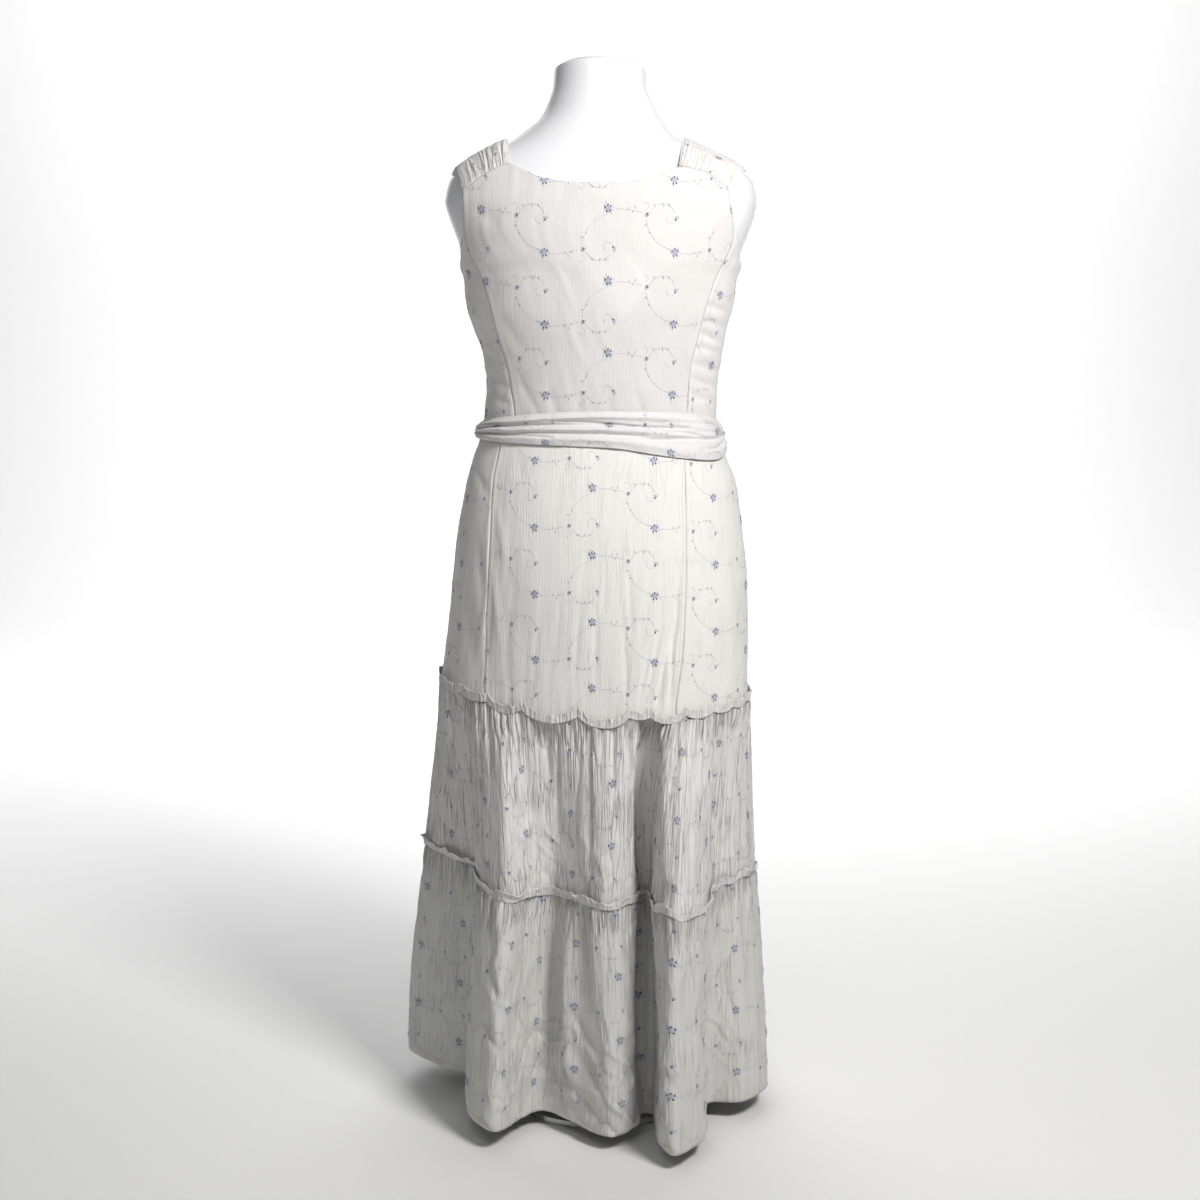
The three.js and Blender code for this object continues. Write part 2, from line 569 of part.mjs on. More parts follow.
// A point of the skirt at a column, at shares of the first and of the second tier's height
function onSkirt(column, first, second) {
  const t = ((column / skirtColumns) % 1 + 1) % 1;
  const place = t * FOLDS.length;
  const turn = lookUp(foldTable, 'place', 'turn', place);
  const sets = lookUp(foldTable, 'place', 'sets', place);
  const middle = midPlan.getPoint(t);
  const hem = hemPlan.getPoint(t);
  const seam = onTierSeam(turn);
  middle.z = TIER_TWO + rise(middle.x);
  hem.z = HEM + rise(hem.x) * RISE.atHem;
  if (second === 0) {
    const point = seam.clone().lerp(middle, first ** sets);
    point.z = lerp(seam.z, middle.z, first);
    return point;
  }
  const point = middle.clone().lerp(hem, 1 - (1 - second) ** HEM_SETS);
  point.z = lerp(middle.z, hem.z, second);
  return point;
}

// A point of a surface, given by a function of the column, moved out level by a distance
function movedOut(surface, column, out) {
  const along = surface(column + 0.5).sub(surface(column - 0.5));
  const normal = new THREE.Vector3(along.y, -along.x, 0).normalize();
  return surface(column).addScaledVector(normal, out);
}

// The cloth that a surface has to itself at a column
const roomAt = (surface, column) => surface(column + 1).distanceTo(surface(column - 1)) / 2;

// A share between 0 and 1 that goes unevenly from column to column
const uneven = (column) => 0.5 + 0.5 * Math.sin(2.4 * column) * Math.cos(1.1 * column + 0.7);

// A gathered tier: every second column stands out as a gather that fades down the cloth, some sooner than
// others
function addTier(name, rows, share, thickness) {
  const grid = rows.map((row, i) => Array.from({ length: skirtColumns }, (_, column) => {
    const [first, second] = share(row);
    const skirtRow = (place) => onSkirt(place, first, second);
    const highest = Math.min(GATHER_HEIGHT, GATHER_SLOPE * roomAt(skirtRow, column));
    const height = highest * lerp(0.6, 1, uneven(column));
    const reach = GATHER_REACH * lerp(0.6, 1.4, uneven(column));
    const fade = column % 2 ? 0 : Math.max(0, 1 - row / reach);
    const point = movedOut(skirtRow, column, height * fade);
    if (i === 0) point.z -= SEAM / 2;
    if (i === rows.length - 1) point.z += SEAM / 2;
    return point;
  }));
  addRing(name, grid, sideColumns, thickness, gauze);
}
const inTierOne = (row) => [row, 0];
const inTierTwo = (row) => [1, row];
const foldNumber = (name) => FOLDS.findIndex((fold) => fold.name === name) * COLUMNS_PER_FOLD;
const sideColumns = [foldNumber('left side'), foldNumber('right side')];
addTier('tier_one', TIER_ONE_ROWS, inTierOne, () => CLOTH);
const hemRow = TIER_TWO_ROWS.length - 2;
addTier('tier_two', TIER_TWO_ROWS, inTierTwo, (row) => (row >= hemRow ? HEM_CLOTH : CLOTH));

// The heading over a tier's seam: a narrow ruffle that stands clear of the cloth behind it, which is given
// as a function of the column and the height over the seam
function addHeading(name, behind) {
  const grid = [1, 0].map((share) => Array.from({ length: skirtColumns }, (_, column) => {
    const height = share * HEADING.height * (1 - HEADING.uneven + HEADING.uneven * Math.sin(1.7 * column));
    const cloth = (place) => behind(place, height);
    const wave = column % 2 ? Math.min(HEADING.wave, HEADING.slope * roomAt(cloth, column)) * share : 0;
    const point = movedOut(cloth, column, SEAM + HEADING.wall + HEADING.clear + wave);
    point.z = behind(column, 0).z + SEAM / 2 + height;
    return point;
  }));
  addRing(name, grid, sideColumns, () => HEADING.wall, gauze);
}
addHeading('heading_one', (column) => onSkirt(column, 0, 0));
addHeading('heading_two', (column, height) => onSkirt(column, 1 - height / (TIER_ONE - TIER_TWO), 0));

// The form: rings from the neck down, the neck's top face tilted towards the back
const formRings = FORM.map(({ z }) => steps(FORM_COLUMNS).slice(0, -1).map((t) => {
  const point = onForm(360 * t, z);
  const tilt = NECK_TILT * clamp((z - NECK_TILT_FROM) / (FORM[0].z - NECK_TILT_FROM), 0, 1);
  point.z -= tilt * point.y;
  return point;
}));
addPiece('form_body', loftGeometry(formRings), gloss);

// The pole and the base with its hub
const formBottom = FORM[FORM.length - 1].z;
const hubTop = BASE_THICKNESS + HUB_HEIGHT;
const poleHeight = formBottom - hubTop - 2 * SEAM;
const pole = new THREE.CylinderGeometry(POLE_RADIUS, POLE_RADIUS, poleHeight, POLE_COLUMNS);
pole.rotateX(Math.PI / 2);
pole.translate(0, 0, hubTop + SEAM + poleHeight / 2);
addPiece('stand_pole', pole, steel);

const baseProfile = [
  [0, 0], [BASE_RADIUS - BASE_ROUNDING, 0], [BASE_RADIUS, BASE_ROUNDING],
  [BASE_RADIUS, BASE_THICKNESS - BASE_ROUNDING], [BASE_RADIUS - BASE_ROUNDING, BASE_THICKNESS],
  [HUB_RADIUS, BASE_THICKNESS], [HUB_RADIUS - HUB_ROUNDING, BASE_THICKNESS + HUB_ROUNDING],
  [POLE_RADIUS + HUB_ROUNDING, hubTop], [0, hubTop],
].map(([r, h]) => new THREE.Vector2(r, h));
const base = new THREE.LatheGeometry(baseProfile, BASE_COLUMNS);
base.rotateX(Math.PI / 2);
addPiece('stand_base', base, steel);

export default dressOnForm;
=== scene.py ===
# %% [markdown]
# # A tiered gauze maxi dress on a dress form
# The dress is crinkled cotton gauze: a fitted bodice with princess seams, gathered shoulder pieces, a sash,
# a smooth hip section and two gathered tiers, with a small embroidered scroll all over. It hangs on a
# glossy form without limbs. The imported CAD model is the fixed frame. Blender makes each cloth piece again
# from the same sizes, with finer faces, creases and thread. A cloth simulation would lose the folds that
# are known, so they are given one by one.

import math

import bpy
import numpy as np
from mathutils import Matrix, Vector


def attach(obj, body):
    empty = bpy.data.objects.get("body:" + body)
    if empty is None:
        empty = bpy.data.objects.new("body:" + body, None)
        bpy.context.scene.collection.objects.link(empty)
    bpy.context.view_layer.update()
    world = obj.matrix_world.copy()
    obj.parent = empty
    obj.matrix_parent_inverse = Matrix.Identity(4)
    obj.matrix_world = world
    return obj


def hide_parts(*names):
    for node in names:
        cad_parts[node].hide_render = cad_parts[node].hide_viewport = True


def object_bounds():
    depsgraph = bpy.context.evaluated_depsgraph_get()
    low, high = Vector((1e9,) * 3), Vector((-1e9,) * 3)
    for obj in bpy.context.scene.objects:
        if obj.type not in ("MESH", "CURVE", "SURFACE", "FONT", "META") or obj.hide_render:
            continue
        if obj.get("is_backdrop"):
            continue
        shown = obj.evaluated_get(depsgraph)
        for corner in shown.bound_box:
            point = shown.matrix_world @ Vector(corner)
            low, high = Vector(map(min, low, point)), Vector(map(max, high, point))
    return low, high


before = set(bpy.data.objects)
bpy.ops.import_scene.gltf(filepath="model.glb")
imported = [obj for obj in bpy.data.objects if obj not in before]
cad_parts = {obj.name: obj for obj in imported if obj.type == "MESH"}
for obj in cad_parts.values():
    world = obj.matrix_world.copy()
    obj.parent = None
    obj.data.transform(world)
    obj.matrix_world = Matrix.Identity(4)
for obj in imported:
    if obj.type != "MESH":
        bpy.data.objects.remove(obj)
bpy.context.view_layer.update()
MM = 0.001

# %% [markdown]
# ## Camera, light and floor
# A dress is photographed from a little above its waist, with a longish lens. A broad light from the upper
# right front shows the crinkle and lets the hem fall off darker, as in a room. One big soft light could
# come from the world alone, but then the folds would lose their depth, so the world only fills the shadows.
# The floor turns up into a pale wall far behind, a cove, which has its own light.

# %% Camera
def placed(name, data, place=(0, 0, 0)):
    """A new object with its data, at a place."""
    made = bpy.data.objects.new(name, data)
    made.location = place
    bpy.context.collection.objects.link(made)
    return made


CAMERA_DIP = 8.04
camera = placed("camera", bpy.data.cameras.new("camera"), (0, -2.5, 0.99))
camera.data.sensor_width = 36
camera.data.lens = 61.56
print("camera at", tuple(camera.location), "with a lens of", round(camera.data.lens, 2), "mm")
camera.rotation_euler = (math.radians(90 - CAMERA_DIP), 0, 0)
bpy.context.scene.camera = camera
bpy.context.scene.view_settings.view_transform = "Standard"


# %% Lights
def area_light(name, place, aim, size, power, color=(1, 1, 1)):
    """A soft square light that looks at a point."""
    light = placed(name, bpy.data.lights.new(name, "AREA"), place)
    light.data.shape = "SQUARE"
    light.data.size = size
    light.data.energy = power
    light.data.color = color
    light.rotation_euler = (Vector(aim) - Vector(place)).to_track_quat("-Z", "Y").to_euler()
    print(name, "of", power, "W at", place)


area_light("key", (0.9, -1.4, 1.98), (0, 0, 1.08), 0.5, 38, (1, 0.99, 0.975))
area_light("upper_fill", (-0.3, -1.35, 1.5), (0, 0, 1.1), 0.6, 3.2)
area_light("back_fill", (-1.2, 2.4, 2.2), (0, 0, 0.8), 2.0, 9)
area_light("cove_light", (0, 2.2, 3.4), (0, 5, 0.9), 2.5, 168)

world = bpy.data.worlds.new("studio")
bpy.context.scene.world = world
world.use_nodes = True
world_inputs = world.node_tree.nodes["Background"].inputs
world_inputs["Color"].default_value = (1, 1, 1, 1)
world_inputs["Strength"].default_value = 0.07

# %% [markdown]
# ## Sizes
# These are the sizes of the CAD part, in millimetres: heights above the floor, and how far the form and the
# dress reach to each side. A turn is an angle round the body, 0 at the middle of the back and 90 at its
# right side.

# %% Levels and seams
CLOTH = 1.0
SASH_CLOTH = 1.3
SEAM = 0.3
EASE = 4
WAIST = 848
TIER_ONE = 520
TIER_TWO = 296
HEM = 20
UNDERARM = 1040
PRINCESS_AT_ARMHOLE = 1078
SKIRT_TURN = 0.15
LEFT_RISE, LEFT_REACH = 20, 203
RIGHT_RISE, RIGHT_REACH = 6, 182
RISE_AT_HEM = 0.75
HEM_SETS = 1.6
NECK_TILT, NECK_TILT_FROM, NECK_TOP = 0.17, 1206, 1275

# %% The form and the dress at each height: z, left, right, back, front, squareness
FORM = [
    (1275, 50, 50, 49, 49, 2.0), (1271, 55, 55, 54, 54, 2.0), (1252, 57, 56, 55, 54, 2.0),
    (1232, 64, 65, 58, 56, 2.0), (1218, 72, 73, 61, 58, 2.05), (1204, 89, 84, 66, 62, 2.1),
    (1192, 108, 101, 71, 66, 2.1), (1180, 133, 126, 77, 70, 2.15), (1168, 154, 150, 83, 75, 2.2),
    (1155, 172, 172, 88, 80, 2.2), (1140, 182, 184, 93, 86, 2.2), (1120, 186, 188, 98, 93, 2.2),
    (1100, 181, 185, 101, 99, 2.2), (1075, 172, 176, 104, 107, 2.2), (1050, 164, 166, 105, 114, 2.2),
    (1030, 159, 160, 104, 118, 2.2), (990, 153, 153, 101, 116, 2.2), (950, 139, 144, 95, 107, 2.15),
    (900, 131, 136, 88, 97, 2.1), (850, 130, 132, 84, 92, 2.1), (800, 143, 146, 92, 97, 2.1),
    (730, 162, 165, 108, 105, 2.15), (650, 172, 172, 119, 109, 2.2), (600, 170, 166, 117, 107, 2.2),
    (566, 162, 158, 111, 101, 2.2), (556, 152, 148, 101, 92, 2.2),
]
DRESS = [
    (1050, 169, 171, 110, 119, 2.2), (1030, 165, 166, 109, 123, 2.2), (990, 159, 159, 106, 121, 2.2),
    (966, 152, 153, 103, 116, 2.15), (942, 143, 149, 99, 111, 2.15), (900, 137, 142, 94, 103, 2.1),
    (862, 140, 141, 90, 98, 2.1), (835, 146, 146, 95, 101, 2.1), (809, 155, 155, 104, 107, 2.1),
    (785, 162, 165, 112, 112, 2.15), (711, 176, 175, 130, 124, 2.2), (662, 182, 180, 139, 131, 2.2),
    (612, 187, 180, 144, 136, 2.2), (562, 194, 180, 148, 139, 2.2), (500, 203, 182, 152, 142, 2.2),
]
DRESS_FROM = 1050

# %% Where the princess seams run: z, distance to the left and to the right
BACK_BODICE_SEAMS = [
    (1140, 161, 149), (PRINCESS_AT_ARMHOLE, 160, 157), (1020, 137, 133), (962, 122, 117), (920, 109, 107),
    (WAIST, 101, 103),
]
FRONT_BODICE_SEAMS = [
    (1140, 150, 150), (PRINCESS_AT_ARMHOLE, 158, 158), (1030, 104, 104), (962, 86, 86), (900, 78, 78),
    (WAIST, 76, 76),
]
BACK_HIP_SEAMS = [(WAIST, 117, 97), (790, 127, 101), (700, 132, 101), (600, 137, 97), (TIER_ONE, 138, 88)]

# %% The top edges of the centre panels: x, z
BACK_TOP = [
    (-161, 1131), (-136, 1146), (-107, 1158), (-66, 1142), (-20, 1136), (20, 1136), (60, 1142), (91, 1154),
    (122, 1148), (148, 1131),
]
FRONT_TOP = [
    (-150, 1122), (-122, 1136), (-96, 1144), (-55, 1082), (-22, 1030), (0, 1006), (22, 1030), (55, 1082),
    (96, 1144), (122, 1136), (150, 1122),
]

# %% [markdown]
# ## Curves and sections
# Each table becomes a smooth curve that never swings past its points. A horizontal section of the body is a
# rounded ellipse with its own reach to each side, so one function gives any point of the form or of the
# dress.

# %% A smooth curve through a table
def smooth_curve(keys, values):
    """A function that follows the table's points smoothly and keeps between neighbours."""
    keys = np.asarray(keys, float)
    order = np.argsort(keys)
    keys = keys[order]
    values = np.asarray(values, float)[order]
    step = np.diff(keys)
    grade = np.diff(values) / step
    slope = np.zeros(len(keys))
    climbing = grade[:-1] * grade[1:] > 0
    both = grade[:-1] + grade[1:]
    slope[1:-1][climbing] = (2 * grade[:-1] * grade[1:])[climbing] / both[climbing]

    def at(place):
        place = np.asarray(place, float)
        i = np.clip(np.searchsorted(keys, place, side="right") - 1, 0, len(step) - 1)
        t = np.clip((place - keys[i]) / step[i], 0, 1)
        bend = slope[i] * t * (1 - t) ** 2 - slope[i + 1] * t * t * (1 - t)
        return values[i] + (values[i + 1] - values[i]) * t * t * (3 - 2 * t) + step[i] * bend

    return at


def table_curves(rows):
    """One smooth curve over the first column for each other column."""
    columns = np.array(rows, float).T
    return [smooth_curve(columns[0], column) for column in columns[1:]]


# %% Points on the form and on the dress
form_curves = table_curves(FORM)
dress_curves = table_curves(DRESS)


def form_section(z):
    """Reach to the left, right, back and front, and squareness, of the form at a height."""
    return [curve(z) for curve in form_curves]


def dress_section(z):
    """The same for the dress: over the shoulders it keeps its ease on the form."""
    ease = [EASE + CLOTH] * 4 + [0]
    return [
        np.where(z > DRESS_FROM, body(z) + room, dress(z))
        for body, dress, room in zip(form_curves, dress_curves, ease)
    ]


def on_section(section, turn, z, skew=0.0):
    """Points of a section at turns and heights, as an array with x, y, z last."""
    left, right, back, front, square = section
    s = np.sin(np.radians(turn))
    c = np.cos(np.radians(turn))
    x = np.where(s > 0, right, left) * np.sign(s) * np.abs(s) ** (2 / square)
    y = -np.where(c > 0, back, front) * np.sign(c) * np.abs(c) ** (2 / square)
    return np.stack(np.broadcast_arrays(x, y - skew * x, z), axis=-1)


def on_dress(turn, z):
    """Points of the dress: below the waist it sits turned on the body."""
    t = np.clip((WAIST - z) / (WAIST - TIER_ONE), 0, 1)
    return on_section(dress_section(z), turn, z, SKIRT_TURN * t * t * (3 - 2 * t))


def seam_line(rows, side, in_front):
    """The turn at which a princess seam lies, as a function of the height."""
    column = 0 if side == "left" else 1
    reach = table_curves(rows)[column]

    def turn_at(z):
        section = dress_section(z)
        share = np.minimum(reach(z) / section[column], 1)
        turn = np.degrees(np.arcsin(share ** (section[4] / 2)))
        from_middle = 180 - turn if in_front else turn
        return -from_middle if side == "left" else from_middle

    return turn_at

# %% [markdown]
# ## Creases
# Cloth on a form shows a few long creases that come from how it is pulled, and many small ones from its
# crinkle. The long ones are written down one by one, each a soft trough or ridge with its own ends, width
# and height. The small ones come from seeded noise that is stretched along the cloth, so that no two are
# alike and each run is the same.

# %% Uneven small hills
LATTICE = 128


def lumps(x, y, seed):
    """Smooth hills and hollows between -1 and 1, about one to each unit square."""
    lattice = np.random.default_rng(seed).uniform(-1, 1, (LATTICE, LATTICE))
    x, y = np.broadcast_arrays(x, y)
    i = np.floor(x).astype(int)
    j = np.floor(y).astype(int)
    fx = x - i
    fy = y - j
    fx = fx * fx * fx * (fx * (6 * fx - 15) + 10)
    fy = fy * fy * fy * (fy * (6 * fy - 15) + 10)

    def corner(a, b):
        return lattice[(i + a) % LATTICE, (j + b) % LATTICE]

    near = corner(0, 0) * (1 - fx) + corner(1, 0) * fx
    far = corner(0, 1) * (1 - fx) + corner(1, 1) * fx
    return near * (1 - fy) + far * fy


def ridges(x, y, seed, sharp=2.0):
    """Crests between 0 and 1 that wander where the hills turn into hollows."""
    return np.clip(1 - np.abs(lumps(x, y, seed)) * 1.6, 0, 1) ** sharp


# %% Creases placed one by one
def creased(points, table):
    """How far creases push the points out. A row is x, z of both ends, width and height, in millimetres."""
    total = np.zeros(points.shape[:-1])
    for x0, z0, x1, z1, width, height in table:
        along = np.array([x1 - x0, z1 - z0], float)
        px = points[..., 0] - x0
        pz = points[..., 2] - z0
        t = (px * along[0] + pz * along[1]) / (along @ along)
        inside = np.clip(t, 0, 1)
        away = np.hypot(px - inside * along[0], pz - inside * along[1])
        fade = np.clip(np.sin(np.pi * np.clip(0.08 + 0.84 * t, 0, 1)), 0, 1) ** 0.8
        total += height * fade * np.exp(-((away / width) ** 2))
    return total

# %% [markdown]
# ## From a grid of points to a piece of cloth
# Every piece is first a grid of points, with its rows from the top down and its columns round the body. A
# copy a millimetre inside it and a rim make a thin closed shell. Its UV map holds the cloth's own flat
# measures in metres, so the gauze and the embroidery keep their size wherever the cloth goes.

# %% Normals, moving out and flat measures
def grid_normals(grid, closed=False):
    """Outward normals of a grid. A closed grid's last column comes before its first."""
    if closed:
        along = np.roll(grid, -1, axis=1) - np.roll(grid, 1, axis=1)
    else:
        along = np.gradient(grid, axis=1)
    normal = np.cross(np.gradient(grid, axis=0), along)
    length = np.linalg.norm(normal, axis=-1, keepdims=True)
    return normal / np.maximum(length, 1e-9)


def pushed(grid, height, closed=False):
    """The grid moved out along its normals."""
    return grid + grid_normals(grid, closed) * height[..., None]


def lengths(grid, axis):
    """How far each point lies along its row or column, from the first one."""
    run = np.cumsum(np.linalg.norm(np.diff(grid, axis=axis), axis=-1), axis=axis)
    return np.concatenate([np.zeros_like(run[:, :1] if axis == 1 else run[:1]), run], axis=axis)


def flat_measures(grid, middle_column):
    """A fitted panel laid flat: across along the level of each row from its middle, and up from the floor."""
    across = lengths(grid[..., :2], 1)
    across += (grid[..., 0] - across)[:, middle_column][:, None]
    return np.stack([across, grid[..., 2]], axis=-1)


# %% Meshes
def grid_faces(rows, columns, first=0, flip=False):
    """Quads of a grid, as rows of four vertex numbers."""
    at = first + np.arange(rows * columns).reshape(rows, columns)
    quads = np.stack([at[:-1, :-1], at[1:, :-1], at[1:, 1:], at[:-1, 1:]], axis=-1).reshape(-1, 4)
    return quads[:, ::-1] if flip else quads


def plain_mesh(name, points, edges=(), faces=()):
    """A mesh from points in millimetres."""
    mesh = bpy.data.meshes.new(name)
    mesh.from_pydata((np.asarray(points) * MM).tolist(), edges, faces)
    return mesh


def name_values(mesh, values):
    """Puts named values on a mesh's points."""
    for key, value in values.items():
        attribute = mesh.attributes.new(key, "FLOAT", "POINT")
        attribute.data.foreach_set("value", np.asarray(value, np.float32).ravel())


def new_piece(name, points, faces, uv=None):
    """A smooth mesh object from points in millimetres, with its flat measures."""
    mesh = plain_mesh(name, points, [], faces)
    mesh.polygons.foreach_set("use_smooth", [True] * len(mesh.polygons))
    if uv is not None:
        layer = mesh.uv_layers.new(name="flat")
        corner = np.empty(len(mesh.loops), int)
        mesh.loops.foreach_get("vertex_index", corner)
        layer.data.foreach_set("uv", (np.asarray(uv)[corner] * MM).astype(np.float32).ravel())
    return placed(name, mesh)


# %% A thin closed shell
outsides = {}


def spread_numbers(count, most):
    """Row numbers from first to last in even steps that are no longer than 'most'."""
    steps = max(1, math.ceil((count - 1) / most))
    return np.round(np.linspace(0, count - 1, steps + 1)).astype(int)


def rim_faces(outer_edge, inner_edge, picked, flip=False):
    """Faces between a fine edge and the coarser one that uses the picked points."""
    faces = []
    for k in range(len(picked) - 1):
        fine = outer_edge[picked[k]:picked[k + 1] + 1].tolist()
        faces.append(fine + [int(inner_edge[k + 1]), int(inner_edge[k])])
    return [face[::-1] for face in faces] if flip else faces


def cloth(name, outer, normals, wall, flat, material, slot, held, rests_on, painted_light=1.0, gathered=0.0, coarse=2):
    """Makes the piece of cloth that stands for the CAD node of this name. Its inside is a coarser grid."""
    rows, columns = outer.shape[:2]
    count = rows * columns
    row_picks = spread_numbers(rows, coarse)
    column_picks = spread_numbers(columns, coarse)
    picked = np.ix_(row_picks, column_picks)
    inner = (outer - normals * wall)[picked]
    at = np.arange(count).reshape(rows, columns)
    inside = count + np.arange(inner[..., 0].size).reshape(inner.shape[:2])
    faces = grid_faces(rows, columns).tolist() + grid_faces(*inner.shape[:2], count, True).tolist()
    faces += rim_faces(at[0], inside[0], column_picks)
    faces += rim_faces(at[:, -1], inside[:, -1], row_picks)
    faces += rim_faces(at[-1], inside[-1], column_picks, flip=True)
    faces += rim_faces(at[:, 0], inside[:, 0], row_picks, flip=True)
    points = np.concatenate([outer.reshape(-1, 3), inner.reshape(-1, 3)])
    uv = np.concatenate([flat.reshape(-1, 2), flat[picked].reshape(-1, 2)])
    piece = new_piece(name + "_cloth", points, faces, uv)
    for key, value in (("painted_light", painted_light), ("gathered", gathered)):
        whole = np.broadcast_to(value, (rows, columns))
        name_values(piece.data, {key: np.concatenate([whole.ravel(), whole[picked].ravel()])})
    piece.data.materials.append(material)
    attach(piece, "root")
    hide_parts(name)
    outsides[name] = (outer, normals, flat)

# %% [markdown]
# ## Materials
# Gauze is a loose weave that was shrunk into fine upright ribs. Under a lens it has five layers: the weave,
# its uneven threads, the ribs, small pleats where ribs run together, and the tucks of a gathered seam. One
# node group makes them all from the cloth's flat measures, and each material takes from it what its cloth
# needs. The sash is the same gauze pulled smooth.

# %% Small helpers for node trees
def set_inputs(tree, node, inputs):
    """Gives each input its value, or links it to the node or socket that stands for it."""
    for key, value in inputs.items():
        if isinstance(value, bpy.types.Node):
            value = value.outputs[0]
        if isinstance(value, bpy.types.NodeSocket):
            tree.links.new(value, node.inputs[key])
        else:
            node.inputs[key].default_value = value


def add_node(tree, kind, inputs=None, **settings):
    """A new node with its settings and its inputs."""
    node = tree.nodes.new(kind)
    for key, value in settings.items():
        setattr(node, key, value)
    set_inputs(tree, node, inputs or {})
    return node


def maths(tree, operation, *values):
    """A Math node on nodes, sockets or numbers."""
    return add_node(tree, "ShaderNodeMath", dict(enumerate(values)), operation=operation)


def weighted(tree, total, *terms):
    """A number with more added to it: each term is a socket and its weight."""
    for value, weight in terms:
        total = maths(tree, "MULTIPLY_ADD", value, weight, total)
    return total


def mixed(tree, first, second, share, **settings):
    """A mix of two colours."""
    inputs = {"A": first, "B": second, "Factor": share}
    return add_node(tree, "ShaderNodeMix", inputs, data_type="RGBA", **settings).outputs["Result"]


def noise_over(tree, scale, detail=2, place=None, **settings):
    """Noise between 0 and 1 over places, or else over the object's own coordinates."""
    if place is None:
        place = add_node(tree, "ShaderNodeTexCoord").outputs["Object"]
    inputs = {"Vector": place, "Scale": scale, "Detail": detail}
    return add_node(tree, "ShaderNodeTexNoise", inputs, **settings).outputs["Fac"]


def point_value(tree, name):
    """A named value of the mesh's points."""
    return add_node(tree, "ShaderNodeAttribute", attribute_name=name).outputs["Fac"]


def bumped(tree, height, strength, distance):
    """A Bump node. A height of 1 stands out by its distance."""
    return add_node(tree, "ShaderNodeBump", {"Height": height, "Strength": strength, "Distance": distance})


def new_material(name, finish):
    """A material. Its finish is a function that makes the surface's inputs in its node tree."""
    material = bpy.data.materials.new(name)
    material.use_nodes = True
    tree = material.node_tree
    set_inputs(tree, tree.nodes["Principled BSDF"], finish(tree))
    return material


# %% The gauze group
THREADS_PER_METRE = 1500


def make_gauze_group():
    """The layers of the gauze from flat measures in metres, each between 0 and 1."""
    group = bpy.data.node_groups.new("crinkled gauze", "ShaderNodeTree")
    group.interface.new_socket("Flat", in_out="INPUT", socket_type="NodeSocketVector")
    group.interface.new_socket("Ribs per metre", in_out="INPUT", socket_type="NodeSocketFloat")
    for name in ("Ribs", "Pleats", "Gathers", "Weave", "Slub"):
        group.interface.new_socket(name, in_out="OUTPUT", socket_type="NodeSocketFloat")
    given = add_node(group, "NodeGroupInput").outputs
    flat = add_node(group, "ShaderNodeSeparateXYZ", {0: given["Flat"]}).outputs

    def noise(across, along, detail=1):
        """Noise over the flat cloth with its own scale across and along, per metre."""
        scales = {"X": across, "Y": along}
        place = {axis: maths(group, "MULTIPLY", flat[axis], scale) for axis, scale in scales.items()}
        place = add_node(group, "ShaderNodeCombineXYZ", place)
        return noise_over(group, 1, detail, place, noise_dimensions="2D", normalize=True)

    def spanned(value, low, high, new_low=0.0, new_high=1.0):
        """A value's range stretched to a new one and held within it."""
        inputs = {"Value": value, "From Min": low, "From Max": high, "To Min": new_low, "To Max": new_high}
        return add_node(group, "ShaderNodeMapRange", inputs, clamp=True).outputs["Result"]

    def lines(value, width):
        """1 along the lines where noise passes its mean, and 0 away from them."""
        away = maths(group, "ABSOLUTE", maths(group, "SUBTRACT", value, 0.5))
        return maths(group, "SUBTRACT", 1.0, spanned(away, 0.0, width))

    turns = maths(group, "MULTIPLY", flat["X"], given["Ribs per metre"])
    turns = maths(group, "MULTIPLY_ADD", noise(60, 22), 2.4, turns)
    rib = maths(group, "SINE", maths(group, "MULTIPLY", turns, 2 * math.pi))
    strength = spanned(noise(90, 26, 2), 0.35, 0.65, 0.04, 0.5)
    shown = spanned(noise(42, 22), 0.36, 0.58)
    waves = [maths(group, "MULTIPLY", flat[axis], 2 * math.pi * THREADS_PER_METRE) for axis in ("X", "Y")]
    weave = maths(group, "MULTIPLY", *[maths(group, "SINE", wave) for wave in waves])
    add_node(group, "NodeGroupOutput", {
        "Ribs": maths(group, "MULTIPLY_ADD", rib, strength, 0.5),
        "Pleats": maths(group, "MULTIPLY", lines(noise(135, 10, 2), 0.03), shown),
        "Gathers": lines(noise(210, 9), 0.07),
        "Weave": maths(group, "MULTIPLY_ADD", weave, 0.5, 0.5),
        "Slub": noise(700, 60, 2),
    })
    return group


gauze_group = make_gauze_group()
print("the gauze group has", len(gauze_group.nodes), "nodes")

# %% The gauze materials: colour, depth of ribs and pleats, darkness of the pleats, ribs to a metre
SHADOW = (0.10, 0.09, 0.075, 1)
TUCK_DEPTH, TUCK_SHADE, PLAIN_SHADE = 1.1, 0.34, 0.93


